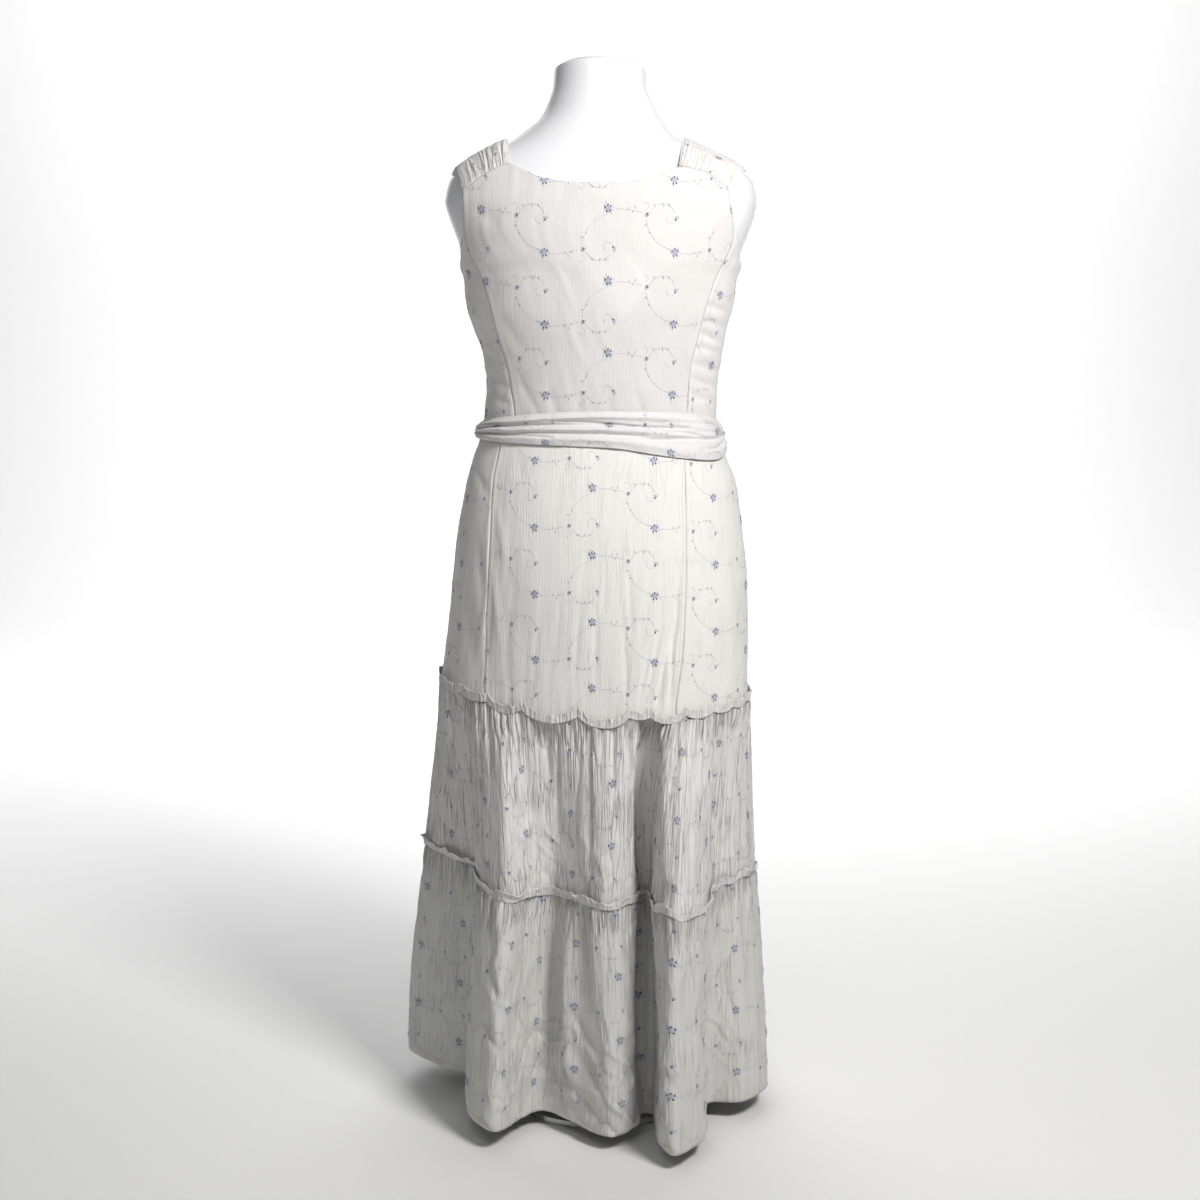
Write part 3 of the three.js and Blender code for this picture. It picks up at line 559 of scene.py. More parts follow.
def gauze_material(name, colour, rib_depth, pleat_depth, pleat_shade, ribs=250):
    """Crinkled gauze. It is darker in its pleats and tucks, as the thread is there in its own shadow."""

    def finish(tree):
        flat = add_node(tree, "ShaderNodeUVMap", uv_map="flat")
        inputs = {"Flat": flat, "Ribs per metre": ribs}
        layer = add_node(tree, "ShaderNodeGroup", inputs, node_tree=gauze_group).outputs
        tucks = maths(tree, "MULTIPLY", layer["Gathers"], point_value(tree, "gathered"))
        height = weighted(
            tree, 0.0, (layer["Ribs"], rib_depth), (layer["Pleats"], -pleat_depth), (tucks, -TUCK_DEPTH),
            (layer["Weave"], 0.03), (layer["Slub"], 0.12),
        )
        shade = weighted(
            tree, PLAIN_SHADE, (tucks, -TUCK_SHADE), (layer["Pleats"], -pleat_shade),
            # Painted highlight: the crests of the ribs are made a little lighter.
            (layer["Ribs"], 0.2 * rib_depth), (layer["Slub"], 0.05),
        )
        # Painted light and shade from the cloth's points: 1 everywhere except on the back centre.
        light = maths(tree, "MULTIPLY", shade, point_value(tree, "painted_light"))
        return {
            "Base Color": mixed(tree, SHADOW, (*colour, 1), light),
            "Normal": bumped(tree, height, 1, MM),
            "Roughness": 0.92,
            "Sheen Weight": 0.12,
            "Sheen Roughness": 0.5,
            "Specular IOR Level": 0.2,
        }

    return new_material(name, finish)


bodice_gauze = gauze_material("bodice gauze", (0.86, 0.835, 0.82), 0.10, 0.08, 0.03)
hip_gauze = gauze_material("hip gauze", (0.85, 0.84, 0.81), 0.15, 0.2, 0.07)
# Painted shade: the heading, tier and hem colours are darker, mostly for light falling off towards the hem.
heading_gauze = gauze_material("heading gauze", (0.82, 0.815, 0.79), 0.22, 0.35, 0.15)
tier_gauze = gauze_material("tier gauze", (0.80, 0.795, 0.77), 0.5, 0.9, 0.34)
hem_gauze = gauze_material("hem gauze", (0.70, 0.70, 0.675), 0.38, 0.5, 0.2)
sash_gauze = gauze_material("sash gauze", (0.80, 0.785, 0.785), 0.05, 0.08, 0.03, 420)
print(len(bpy.data.materials), "materials so far")

# %% [markdown]
# ## The bodice
# It is cut in six panels: a centre and two sides behind, and the same in front. The princess seams run from
# the armhole over the shoulder blade to the waist. Each panel is a grid between two seams and two edges.
# Beside a seam the cloth lies on its own allowance, so it stands up a little in a soft ridge.

# %% A fitted panel
PASSES = 6


def settled(edge, turns):
    """The height of an edge where it depends on the point that it passes."""
    z = edge(turns(np.full_like(turns(WAIST), WAIST)), on_dress(turns(WAIST), WAIST))
    for _ in range(PASSES):
        z = edge(turns(z), on_dress(turns(z), z))
    return z


def panel_grid(start, end, top, bottom, columns, rows):
    """Points between two seams, the first at the smaller turn, from the top edge to the bottom edge."""
    u = np.linspace(0, 1, columns + 1)

    def turns(z):
        return start(z) + (end(z) - start(z)) * u

    high = settled(top, turns)
    low = settled(bottom, turns)
    z = high + (low - high) * np.linspace(0, 1, rows + 1)[:, None]
    return on_dress(turns(z), z)


def seam_ridges(grid, left, right, height, width):
    """The soft ridge over the allowance beside a panel's seams, with the seam itself drawn in."""
    across = lengths(grid, 1)
    total = np.zeros(across.shape)
    for here, away in ((left, across), (right, across[:, -1:] - across)):
        if here:
            total += height * np.exp(-(((away - 1.2 * width) / width) ** 2))
            total -= 0.3 * np.exp(-((away / 1.6) ** 2))
    return total


def soft_step(distance, width):
    """From 0 to 1 where a distance passes 0."""
    return 1 / (1 + np.exp(-np.clip(distance / width, -30, 30)))


def turned_edge(grid, width=5.0, height=0.35):
    """The turned edge along a panel's top, where the cloth is doubled."""
    below = grid[:1, :, 2] - grid[..., 2]
    return height * soft_step(width - below, 1.2)


def finished_panel(name, grid, height, material, held, painted_light=1.0, gathered=0.0):
    """Pushes a panel's grid out by its creases and makes the cloth of it."""
    outer = pushed(grid, height)
    flat = flat_measures(grid, grid.shape[1] // 2)
    where = (outer, grid_normals(outer), CLOTH, flat)
    cloth(name, *where, material, "gauze", held, ["smooth_form"], painted_light, gathered, coarse=3)


# %% The smooth body of the form
def form_rings(columns=80, rows=110):
    """Rings of the form from the neck down, its top face tilted towards the back."""
    z = smooth_curve(np.linspace(0, 1, len(FORM)), [row[0] for row in FORM])(np.linspace(0, 1, rows))
    turn = np.linspace(0, 360, columns, endpoint=False)
    grid = on_section(form_section(z[:, None]), turn[None, :], z[:, None])
    tilt = NECK_TILT * np.clip((z - NECK_TILT_FROM) / (NECK_TOP - NECK_TILT_FROM), 0, 1)
    grid[..., 2] -= tilt[:, None] * grid[..., 1]
    return grid


def closed_loft(name, grid):
    """A closed body through rings, with a fan over the first and the last one."""
    rows, columns = grid.shape[:2]
    at = np.arange(rows * columns).reshape(rows, columns)
    after = np.roll(at, -1, axis=1)
    quads = np.stack([at[:-1], at[1:], after[1:], after[:-1]], axis=-1).reshape(-1, 4).tolist()
    points = np.concatenate([grid.reshape(-1, 3), grid[0].mean(0)[None], grid[-1].mean(0)[None]])
    top = [[rows * columns, int(a), int(b)] for a, b in zip(at[0], after[0])]
    bottom = [[rows * columns + 1, int(b), int(a)] for a, b in zip(at[-1], after[-1])]
    body = new_piece(name, points, quads + top + bottom)
    body.data.polygons.foreach_set("use_smooth", [True] * len(quads) + [False] * (len(top) + len(bottom)))
    return body


form = closed_loft("smooth_form", form_rings())
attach(form, "root")
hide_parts("form_body")
print("smooth_form:", len(form.data.polygons), "faces")

# %% Creases of the bodice: x, z, x, z, width, height
BODICE_BACK_CREASES = [
    (-92, 905, -70, 862, 5, -1.0), (-60, 900, -48, 862, 6, -1.2), (-22, 893, -26, 862, 5, -0.9),
    (10, 900, 14, 864, 6, -1.1), (44, 896, 52, 860, 5, -1.0), (78, 905, 88, 862, 6, -1.2),
    (-120, 1010, -62, 1046, 11, 1.3), (66, 1046, 128, 1022, 12, 1.2), (-64, 1046, -10, 1040, 10, 0.8),
    (108, 1000, 70, 962, 8, -0.8), (-118, 985, -88, 940, 7, -0.9), (-140, 1110, -120, 1085, 8, -1.0),
    (128, 1112, 112, 1086, 8, -1.0), (-30, 1120, 34, 1121, 9, 0.6),
]
BODICE_SIDE_CREASES = [
    (108, 1000, 152, 988, 4.5, -2.0), (104, 984, 148, 970, 4, -1.7), (110, 968, 144, 952, 4.5, -2.1),
    (104, 950, 142, 940, 4, -1.6), (108, 930, 140, 916, 5, -2.0), (104, 912, 138, 898, 4, -1.5),
    (106, 892, 138, 880, 4.5, -1.7), (130, 1060, 160, 1020, 7, -1.4),
    (-150, 1040, -130, 1000, 7, -1.6), (-146, 1002, -122, 972, 5, -1.8), (-140, 975, -114, 950, 5, -1.7),
    (-138, 940, -112, 925, 4.5, -1.6), (-136, 915, -108, 900, 5, -1.8), (-138, 890, -106, 880, 4.5, -1.5),
]
BODICE_FRONT_CREASES = [
    (-120, 1060, -60, 1020, 9, -1.2), (118, 1064, 64, 1016, 9, -1.3), (-60, 905, -50, 862, 6, -1.2),
    (-16, 900, -20, 862, 5, -1.0), (24, 905, 20, 862, 6, -1.1), (62, 896, 66, 862, 5, -1.0),
    (-92, 960, -120, 930, 6, -1.4), (96, 970, 124, 936, 6, -1.3), (-30, 985, -80, 1000, 8, -1.0),
    (26, 986, 84, 1004, 8, -0.9), (0, 1000, 0, 930, 9, -0.8),
]


# %% Painted light and shade where the front shows through the back
def painted_show_through(grid):
    """Painted on the back: a paler V of light through the front neckline and two darker arcs of shadow."""
    x = grid[..., 0]
    z = grid[..., 2]
    pale = soft_step(1046 - z, 4) * soft_step(z - 978, 2.5)
    pale = pale * soft_step((x + 23) * 0.83 - (1046 - z) * 0.56, 2.5)
    pale = pale * soft_step((54 - x) * 0.75 - (1012 - z) * 0.66, 2.5)
    left_shadow_arc = np.exp(-(((z - (1046 - ((x + 64) / 24) ** 2)) / 7) ** 2))
    left_shadow_arc = left_shadow_arc * soft_step(-x - 52, 8) * soft_step(x + 140, 8)
    right_shadow_arc = np.exp(-(((z - (1044 - ((x - 74) / 26) ** 2)) / 8) ** 2))
    right_shadow_arc = right_shadow_arc * soft_step(x - 66, 9) * soft_step(150 - x, 8)
    return 0.925 + 0.075 * pale - 0.08 * left_shadow_arc - 0.07 * right_shadow_arc


# %% The bodice panels
def bodice_top(rows):
    """The height of a centre panel's top edge over a point."""
    edge = smooth_curve([x for x, _ in rows], [z for _, z in rows])
    return lambda turn, point: edge(np.clip(point[..., 0], rows[0][0], rows[-1][0]))


def armhole(turn, point):
    """The height of a side panel's top edge: it sinks from the princess seam to the underarm."""
    back_seam = 90 - np.abs(np.abs(turn) - 90)
    share = np.clip((90 - back_seam) / (90 - back_seam.min()), 0, 1)
    return UNDERARM + (PRINCESS_AT_ARMHOLE - UNDERARM) * (1 - np.cos(np.pi / 2 * share) ** 1.2)


def level_edge(z):
    """An edge at one height."""
    return lambda turn, point: np.full(np.shape(turn), z)


def fixed_turn(turn):
    """A seam that keeps its turn."""
    return lambda z: np.full(np.shape(z), float(turn))


CENTRE_GRID = (132, 118)
SIDE_GRID = (48, 96)
bodice_bottom = level_edge(WAIST + SEAM / 2)
for place, seams, top, creases in (
    ("back", BACK_BODICE_SEAMS, BACK_TOP, BODICE_BACK_CREASES),
    ("front", FRONT_BODICE_SEAMS, FRONT_TOP, BODICE_FRONT_CREASES),
):
    in_front = place == "front"
    left = seam_line(seams, "left", in_front)
    right = seam_line(seams, "right", in_front)
    start, end = (right, lambda z: left(z) + 360) if in_front else (left, right)
    grid = panel_grid(start, end, bodice_top(top), bodice_bottom, *CENTRE_GRID)
    height = creased(grid, creases) + seam_ridges(grid, True, True, 0.5, 3.2) + turned_edge(grid)
    height += 0.35 * lumps(lengths(grid, 1) / 9, grid[..., 2] / 60, 11)
    height += 0.5 * lumps(grid[..., 0] / 38, grid[..., 2] / 45, 12)
    # The back centre carries painted light and shade: a pale V of light and two dark arcs of shadow.
    painted_light = 1.0 if in_front else painted_show_through(grid)
    finished_panel(f"bodice_{place}_centre", grid, height, bodice_gauze, "stretched", painted_light)
    for side, sign in (("left", -1), ("right", 1)):
        princess = left if sign < 0 else right
        side_seam = fixed_turn(sign * 90)
        first = (sign < 0) == in_front
        ends = (princess, side_seam) if first else (side_seam, princess)
        grid = panel_grid(*ends, armhole, bodice_bottom, *SIDE_GRID)
        height = creased(grid, BODICE_SIDE_CREASES) + seam_ridges(grid, first, not first, 0.5, 4.0)
        height += turned_edge(grid)
        height += 0.5 * lumps(lengths(grid, 1) / 12, grid[..., 2] / 40, 13)
        height += 0.6 * lumps(grid[..., 1] / 30, grid[..., 2] / 18, 14)
        finished_panel(f"bodice_{place}_side_{side}", grid, height, bodice_gauze, "stretched")

# %% [markdown]
# ## The finish of the form and the stand
# The form is moulded plastic with a hard gloss, so it takes a clear coat over white. Its pole and base are
# steel that was brushed and lacquered.

# %% Plastic and steel
def plastic(tree):
    """Glossy white plastic with a faint unevenness from its mould."""
    cloudy = noise_over(tree, 9, 4)
    return {
        "Base Color": mixed(tree, (0.90, 0.91, 0.94, 1), (0.95, 0.955, 0.97, 1), cloudy),
        "Roughness": maths(tree, "MULTIPLY_ADD", cloudy, 0.08, 0.16),
        "Normal": bumped(tree, noise_over(tree, 260), 0.12, 0.1 * MM),
        "Coat Weight": 0.6,
        "Coat Roughness": 0.06,
    }


def brushed_steel(tree):
    """Brushed steel: fine rings round the pole's axis break its gloss."""
    place = add_node(tree, "ShaderNodeTexCoord").outputs["Object"]
    reach = add_node(tree, "ShaderNodeVectorMath", {0: place}, operation="LENGTH").outputs["Value"]
    height = add_node(tree, "ShaderNodeSeparateXYZ", {0: place}).outputs["Z"]
    rings = {"X": maths(tree, "MULTIPLY", reach, 900), "Y": maths(tree, "MULTIPLY", height, 900)}
    grain = noise_over(tree, 1, place=add_node(tree, "ShaderNodeCombineXYZ", rings))
    return {
        "Base Color": mixed(tree, (0.52, 0.52, 0.53, 1), (0.66, 0.66, 0.66, 1), grain),
        "Roughness": maths(tree, "MULTIPLY_ADD", grain, 0.25, 0.22),
        "Metallic": 1,
    }


form.data.materials.append(new_material("glossy form", plastic))
steel = new_material("brushed steel", brushed_steel)
for name in ("stand_pole", "stand_base"):
    for material_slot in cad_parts[name].material_slots:
        material_slot.material = steel
    print(name, "in brushed steel")

# %% [markdown]
# ## The shoulder pieces
# Each one is a short wide strip that is gathered into the back and the front seam and lies nearly smooth
# over the shoulder. Its gathers fan out from the seam, deepest beside the neck, so their height is a wave
# across the strip that fades towards its middle.

# %% The shoulder pieces: edges at the neck and the armhole, on top, at the back seam, at the front seam
SHOULDERS = [
    ("shoulder_left", -1, (109, 177), (106, 161), (97, 151)),
    ("shoulder_right", 1, (99, 174), (91, 149), (97, 151)),
]
SHOULDER_LIFT = 1.8
SHOULDER_FROM = 1050
HALVINGS = 30


# %% Points over the shoulder
def shoulder_height(x, y):
    """The form's height over a point seen from above, found by halving."""
    low = np.full(np.shape(x), float(SHOULDER_FROM))
    high = np.full(np.shape(x), float(NECK_TOP))
    for _ in range(HALVINGS):
        z = (low + high) / 2
        left, right, back, front, square = form_section(z)
        inside = np.abs(x / np.where(x > 0, right, left)) ** square
        inside = inside + np.abs(y / np.where(y > 0, front, back)) ** square < 1
        low = np.where(inside, z, low)
        high = np.where(inside, high, z)
    return (low + high) / 2


def section_depth(section, x, front):
    """How far to the front or to the back a section reaches at a place across."""
    left, right, back, before, square = section
    share = np.minimum(np.abs(x) / np.where(x > 0, right, left), 1)
    return np.where(front, before, -back) * (1 - share**square) ** (1 / square)


def over_shoulder(x, y, step=1.5):
    """Points of the form's shoulder seen from above, and its normals there."""
    across = (shoulder_height(x + step, y) - shoulder_height(x - step, y)) / (2 * step)
    along = (shoulder_height(x, y + step) - shoulder_height(x, y - step)) / (2 * step)
    normal = np.stack([-across, -along, np.ones_like(across)], axis=-1)
    normal /= np.linalg.norm(normal, axis=-1, keepdims=True)
    return np.stack([x, y, shoulder_height(x, y)], axis=-1), normal


# %% The gathered strips
def shoulder_piece(name, side, top, back, front, columns=150, rows=70):
    """A strip from the back seam over the shoulder to the front seam."""
    u = np.linspace(0, 1, columns + 1)[None, :]
    u = u if side < 0 else 1 - u
    s = np.linspace(-1, 1, rows + 1)[:, None]
    ends = [np.where(s < 0, back[k], front[k]) for k in (0, 1)]
    end = side * (ends[0] + (ends[1] - ends[0]) * u)
    x = side * (top[0] + (top[1] - top[0]) * u) * (1 - s * s) + end * s * s
    back_edge, front_edge = (smooth_curve(*zip(*points)) for points in (BACK_TOP, FRONT_TOP))
    seam_z = np.where(s < 0, back_edge(end), front_edge(end)) + SEAM
    y = np.abs(s) * section_depth(form_section(seam_z), end, s > 0)
    wander = u + 0.012 * lumps(u * 14, s * 1.3, 31 + side)
    gathers = ridges(wander * 17, s * 0.55 + 5, 41 + side, 1.1)
    strength = (0.22 + 0.78 * np.abs(s) ** 1.4) * (1.1 - 0.75 * u)
    small = 0.4 * lumps(u * 34, s * 5, 45)
    pleated = (2.4 * gathers + small) * strength * (1 - 0.45 * np.abs(s) ** 12)
    hems = np.exp(-((u / 0.05) ** 2)) + np.exp(-(((1 - u) / 0.05) ** 2))
    form_points, normal = over_shoulder(x, y)
    grid = form_points + normal * (SHOULDER_LIFT + CLOTH - 2.0 * hems + pleated)[..., None]
    for row, sign in ((0, -1), (-1, 1)):
        z = seam_z[row]
        reach = section_depth(dress_section(z), end[row], sign > 0)
        level = normal[row] * (1, 1, 0)
        level /= np.linalg.norm(level, axis=-1, keepdims=True)
        seam = np.stack([end[row], reach, z], axis=-1) + level * (0.5 + pleated[row])[:, None]
        near = np.clip((sign * s - 0.72) / 0.28, 0, 1)[..., None] ** 2
        grid = grid + (seam - grid[row]) * near
    normals = grid_normals(grid)
    if normals[rows // 2, columns // 2, 2] < 0:
        grid = grid[:, ::-1]
        normals = grid_normals(grid)
    across = lengths(grid, 1)
    across -= across[:, columns // 2][:, None]
    down = lengths(grid, 0).mean(1)[:, None]
    flat = np.stack(np.broadcast_arrays(across.mean(0), -down), axis=-1)
    gathered = 0.7 * np.abs(s) ** 2 * (1 - 0.6 * u)
    cloth(name, grid, normals, CLOTH, flat, bodice_gauze, "gauze", "gathered", ["smooth_form"], 1.0, gathered)


for row in SHOULDERS:
    shoulder_piece(*row)

# %% [markdown]
# ## The sash
# A strip of the same gauze is wound round the waist and drawn together at the left, so it falls into a few
# long folds that run together there. Each fold is a ridge whose place in the width wanders along the waist.

# %% Sizes of the sash: turn, top, bottom, how far out
SASH = [
    (-180, 868, 828, 1.3), (-120, 864, 830, 2), (-90, 852, 836, 3), (-55, 864, 834, 2), (0, 873, 830, 1.3),
    (35, 871, 817, 1.3), (60, 866, 812, 2), (90, 855, 822, 2), (130, 864, 828, 1.3), (180, 868, 828, 1.3),
]
# A fold line of the sash: turns where it starts and ends, its share of the width there, its width and height
SASH_FOLDS = [
    (-95, 60, 0.22, 0.12, 0.07, 2.4), (-93, 46, 0.40, 0.36, 0.04, -3.6), (-90, 75, 0.56, 0.48, 0.08, 2.6),
    (-88, 22, 0.70, 0.60, 0.04, -3.4), (-80, 95, 0.84, 0.80, 0.08, 1.8), (-22, 56, 0.28, 0.52, 0.04, -3.6),
    (-92, -30, 0.20, 0.30, 0.04, -2.6), (-91, -20, 0.58, 0.80, 0.04, -2.8), (14, 90, 0.68, 0.45, 0.045, -2.8),
    (38, 96, 0.28, 0.40, 0.07, 2.6), (48, 93, 0.84, 0.58, 0.045, -2.8), (58, 92, 0.16, 0.36, 0.04, -2.4),
    (90, 200, 0.25, 0.30, 0.07, 2.4), (95, 250, 0.50, 0.46, 0.04, -3.2), (100, 262, 0.70, 0.64, 0.07, 2.4),
    (150, 266, 0.38, 0.52, 0.045, -2.6), (170, 268, 0.86, 0.72, 0.05, 1.8), (200, 265, 0.14, 0.34, 0.06, 2.0),
]


# %% The sash's two stretches
def sash_grid(columns=560, rows=60):
    """The whole ring of the sash with its folds, from the left side round the back."""
    turn = np.linspace(-90, 270, columns, endpoint=False)[None, :]
    share = np.linspace(0, 1, rows)[:, None]
    wrapped = (turn + 180) % 360 - 180
    high, low, out = (curve(wrapped) for curve in table_curves(SASH))
    z = high + (low - high) * share
    base = on_dress(turn, z)
    height = np.full(z.shape, SEAM + SASH_CLOTH + 0.6) + out
    height += 2.2 * np.sin(np.pi * share) ** 0.6
    for start, end, a, b, width, rise in SASH_FOLDS:
        for lap in (-360, 0, 360):
            t = np.clip((turn + lap - start) / (end - start), 0, 1)
            fade = np.sin(np.pi * t) ** (0.5 if rise > 0 else 0.35)
            line = a + (b - a) * t + 0.02 * np.sin(9 * t + start)
            height += 1.2 * rise * fade * np.exp(-(((share - line) / width) ** 2))
    bunched = np.exp(-(((wrapped + 90) / 10) ** 2)) + 0.5 * np.exp(-(((wrapped - 90) / 12) ** 2))
    height += bunched * (1.0 + 0.9 * np.sin(share * 26 + 1))
    height += 0.35 * lumps(turn / 2.5, share * 7, 51)
    height += 0.4 * lumps(turn / 9, share * 12, 52)
    height = np.maximum(height, SEAM + SASH_CLOTH + 0.5)
    ends = np.exp(-((share / 0.05) ** 2)) + np.exp(-(((1 - share) / 0.05) ** 2))
    return base, height * (1 - 0.35 * ends) + 0.6 * ends


def ring_pieces(name, grid, height, wall, flat, split, material, slot, held, rests_on, gathered=0.0):
    """A closed ring of cloth, parted at its side seams: 'split' columns for the back, the others in front."""
    outer = pushed(grid, height, closed=True)
    normals = grid_normals(outer, closed=True)
    wall = np.broadcast_to(wall, outer.shape[:2])[..., None]
    gathered = np.broadcast_to(gathered, outer.shape[:2])
    whole = [np.concatenate([part, part[:, :1]], axis=1) for part in (outer, normals, wall, gathered)]
    outer, normals, wall, gathered = whole
    last = flat[:, -1:] * 2 - flat[:, -2:-1]
    laid = np.concatenate([flat, last], axis=1)
    for place, columns in (("back", slice(0, split + 1)), ("front", slice(split, None))):
        outside = outer[:, columns].copy()
        for end, beside in ((0, 1), (-1, -2)):
            gap = outside[:, beside] - outside[:, end]
            reach = np.linalg.norm(gap, axis=-1, keepdims=True)
            outside[:, end] += gap / reach * np.minimum(SEAM / 2, reach / 3)
        part = (outside, normals[:, columns], wall[:, columns], laid[:, columns])
        cloth(f"{name}_{place}", *part, material, slot, held, rests_on, 1.0, gathered[:, columns])


base, height = sash_grid()
SASH_WIDTH = 54
around = lengths(base, 1).mean(0)
down = SASH_WIDTH * np.linspace(0, 1, base.shape[0])[:, None]
flat = np.stack(np.broadcast_arrays(around, -down), axis=-1)
ring_pieces(
    "sash", base, height, SASH_CLOTH, flat, base.shape[1] // 2, sash_gauze, "sash", "folded",
    ["bodice_back_centre_cloth", "bodice_front_centre_cloth"],
)

# %% [markdown]
# ## The hip and the droop of its seam
# Below the waist the cloth runs smoothly over the hips in four panels. The seam under it carries a gathered
# tier, and between the places where the gathers pinch it the seam droops in shallow scallops. The panels
# above, the tier below and the ruffle over the seam all use the same droop, so they stay together.

# %% Scallops of the upper seam: turn of a pinch, and how deep the seam droops after it
PINCHES = [
    (-90, 4), (-72, 5), (-56, 4), (-40, 9), (-25, 11), (-6, 13), (9, 3), (17, 9), (31, 6), (45, 4), (58, 4),
    (74, 4), (90, 5), (108, 7), (128, 6), (146, 9), (166, 8), (188, 9), (207, 6), (226, 8), (247, 5),
]


def droop(turn):
    """How far the upper seam hangs below its pinches at a turn."""
    turn = (np.asarray(turn, float) + 90) % 360 - 90
    total = np.zeros(turn.shape)
    for (start, depth), (end, _) in zip(PINCHES, PINCHES[1:] + [(PINCHES[0][0] + 360, 0)]):
        t = (turn - start) / (end - start)
        near = np.clip(t, 0, 1)
        total = np.where(near == t, depth * (4 * near * (1 - near)) ** 0.8, total)
    return total


def rise(x):
    """How far the skirt is drawn up at a place from the middle."""
    return np.where(x < 0, LEFT_RISE * (x / LEFT_REACH) ** 2, RIGHT_RISE * (x / RIGHT_REACH) ** 2)


# %% Creases of the hip: x, z, x, z, width, height
HIP_CREASES = [
    (93, 690, 87, 600, 2.4, -2.8), (88, 672, 80, 575, 2.4, -3.0), (91, 650, 79, 540, 2.6, -4.2),
    (84, 630, 66, 536, 2.6, -3.6), (89, 640, 87, 545, 2.4, 2.2), (74, 640, 54, 540, 2.8, -2.4),
    (84, 600, 73, 520, 2.8, 2.6), (60, 610, 44, 530, 3.0, -1.8), (34, 690, 36, 620, 3.0, -1.2),
    (26, 650, 32, 540, 3.2, -1.4), (8, 700, 4, 640, 3.0, -1.0), (-4, 640, -6, 560, 3.2, -1.5),
    (-24, 640, -30, 560, 3.0, -0.9), (-46, 660, -52, 590, 3.2, -0.8), (-74, 620, -78, 540, 3.4, -0.9),
    (-122, 760, -112, 700, 5, 1.2), (-128, 690, -118, 600, 5, 1.3), (-110, 640, -112, 560, 4, -1.0),
    (-146, 720, -138, 640, 6, -1.5), (-160, 650, -150, 560, 7, -1.6), (-150, 800, -132, 770, 6, -1.3),
    (-130, 640, -142, 560, 5, -1.6), (112, 800, 150, 784, 7, -1.0), (120, 760, 158, 740, 8, -0.9),
    (108, 620, 120, 540, 5, -1.1), (130, 600, 136, 530, 5, -0.9), (150, 640, 152, 560, 6, -1.0),
    (-96, 826, -92, 790, 6, -0.9), (-40, 826, -44, 800, 6, -0.8), (30, 812, 34, 780, 6, -0.8),
]
HIP_FRONT_CREASES = [
    (-120, 700, -126, 610, 6, -1.4), (-84, 640, -90, 550, 4, -1.5), (-52, 660, -48, 560, 4, -1.2),
    (-10, 640, -14, 540, 4, -1.4), (22, 690, 26, 600, 4, -1.0), (52, 630, 60, 540, 4, -1.6),
    (92, 660, 98, 560, 5, -1.3), (128, 690, 132, 600, 6, -1.2), (-40, 820, -44, 785, 6, -0.9),
    (36, 822, 40, 790, 6, -0.9), (-100, 800, -132, 780, 7, -1.1), (104, 800, 138, 782, 7, -1.0),
]

# %% The hip panels
def upper_seam(turn, point):
    """The height of the upper seam at a turn and over a point."""
    return TIER_ONE + rise(point[..., 0]) - droop(turn)


def hip_bottom(turn, point):
    """The hip's lower edge, just above the seam."""
    return upper_seam(turn, point) + SEAM / 2


HIP_ROWS = 112
hip_left = seam_line(BACK_HIP_SEAMS, "left", False)
hip_right = seam_line(BACK_HIP_SEAMS, "right", False)
for name, start, end, columns, ridge_left, ridge_right, creases in (
    ("hip_back_centre", hip_left, hip_right, 150, True, True, HIP_CREASES),
    ("hip_back_side_left", fixed_turn(-90), hip_left, 46, False, True, HIP_CREASES),
    ("hip_back_side_right", hip_right, fixed_turn(90), 46, True, False, HIP_CREASES),
    ("hip_front", fixed_turn(90), fixed_turn(270), 180, False, False, HIP_FRONT_CREASES),
):
    grid = panel_grid(start, end, level_edge(WAIST - SEAM / 2), hip_bottom, columns, HIP_ROWS)
    across = lengths(grid, 1)
    above_seam = np.clip(1 - (grid[..., 2] - grid[-1, :, 2]) / 60, 0, 1)
    height = creased(grid, creases) + seam_ridges(grid, ridge_left, ridge_right, 0.4, 2.8)
    height += 0.45 * lumps(across / 8, grid[..., 2] / 70, 21)
    height += 0.6 * lumps(across / 34, grid[..., 2] / 60, 22)
    height += above_seam**2 * 0.9 * lumps(across / 7, grid[..., 2] / 50, 23)
    gathered = 0.5 * above_seam**3 * (0.5 + 0.5 * lumps(across / 18, 0, 24))
    finished_panel(name, grid, height, hip_gauze, "hung", gathered=gathered)

# %% [markdown]
# ## The tiers
# The skirt's plan is a smooth closed curve through the tops and bottoms of its big folds, which are named
# one by one. Each tier hangs from the seam above it to the next curve. On that come the gathers: sharp
# little pleats that start at the seam and die out at uneven lengths, longer soft waves, and diagonal
# rumples above the hem. The clearest creases are then placed one by one, and the tucks too fine for the
# faces are left to the gauze.

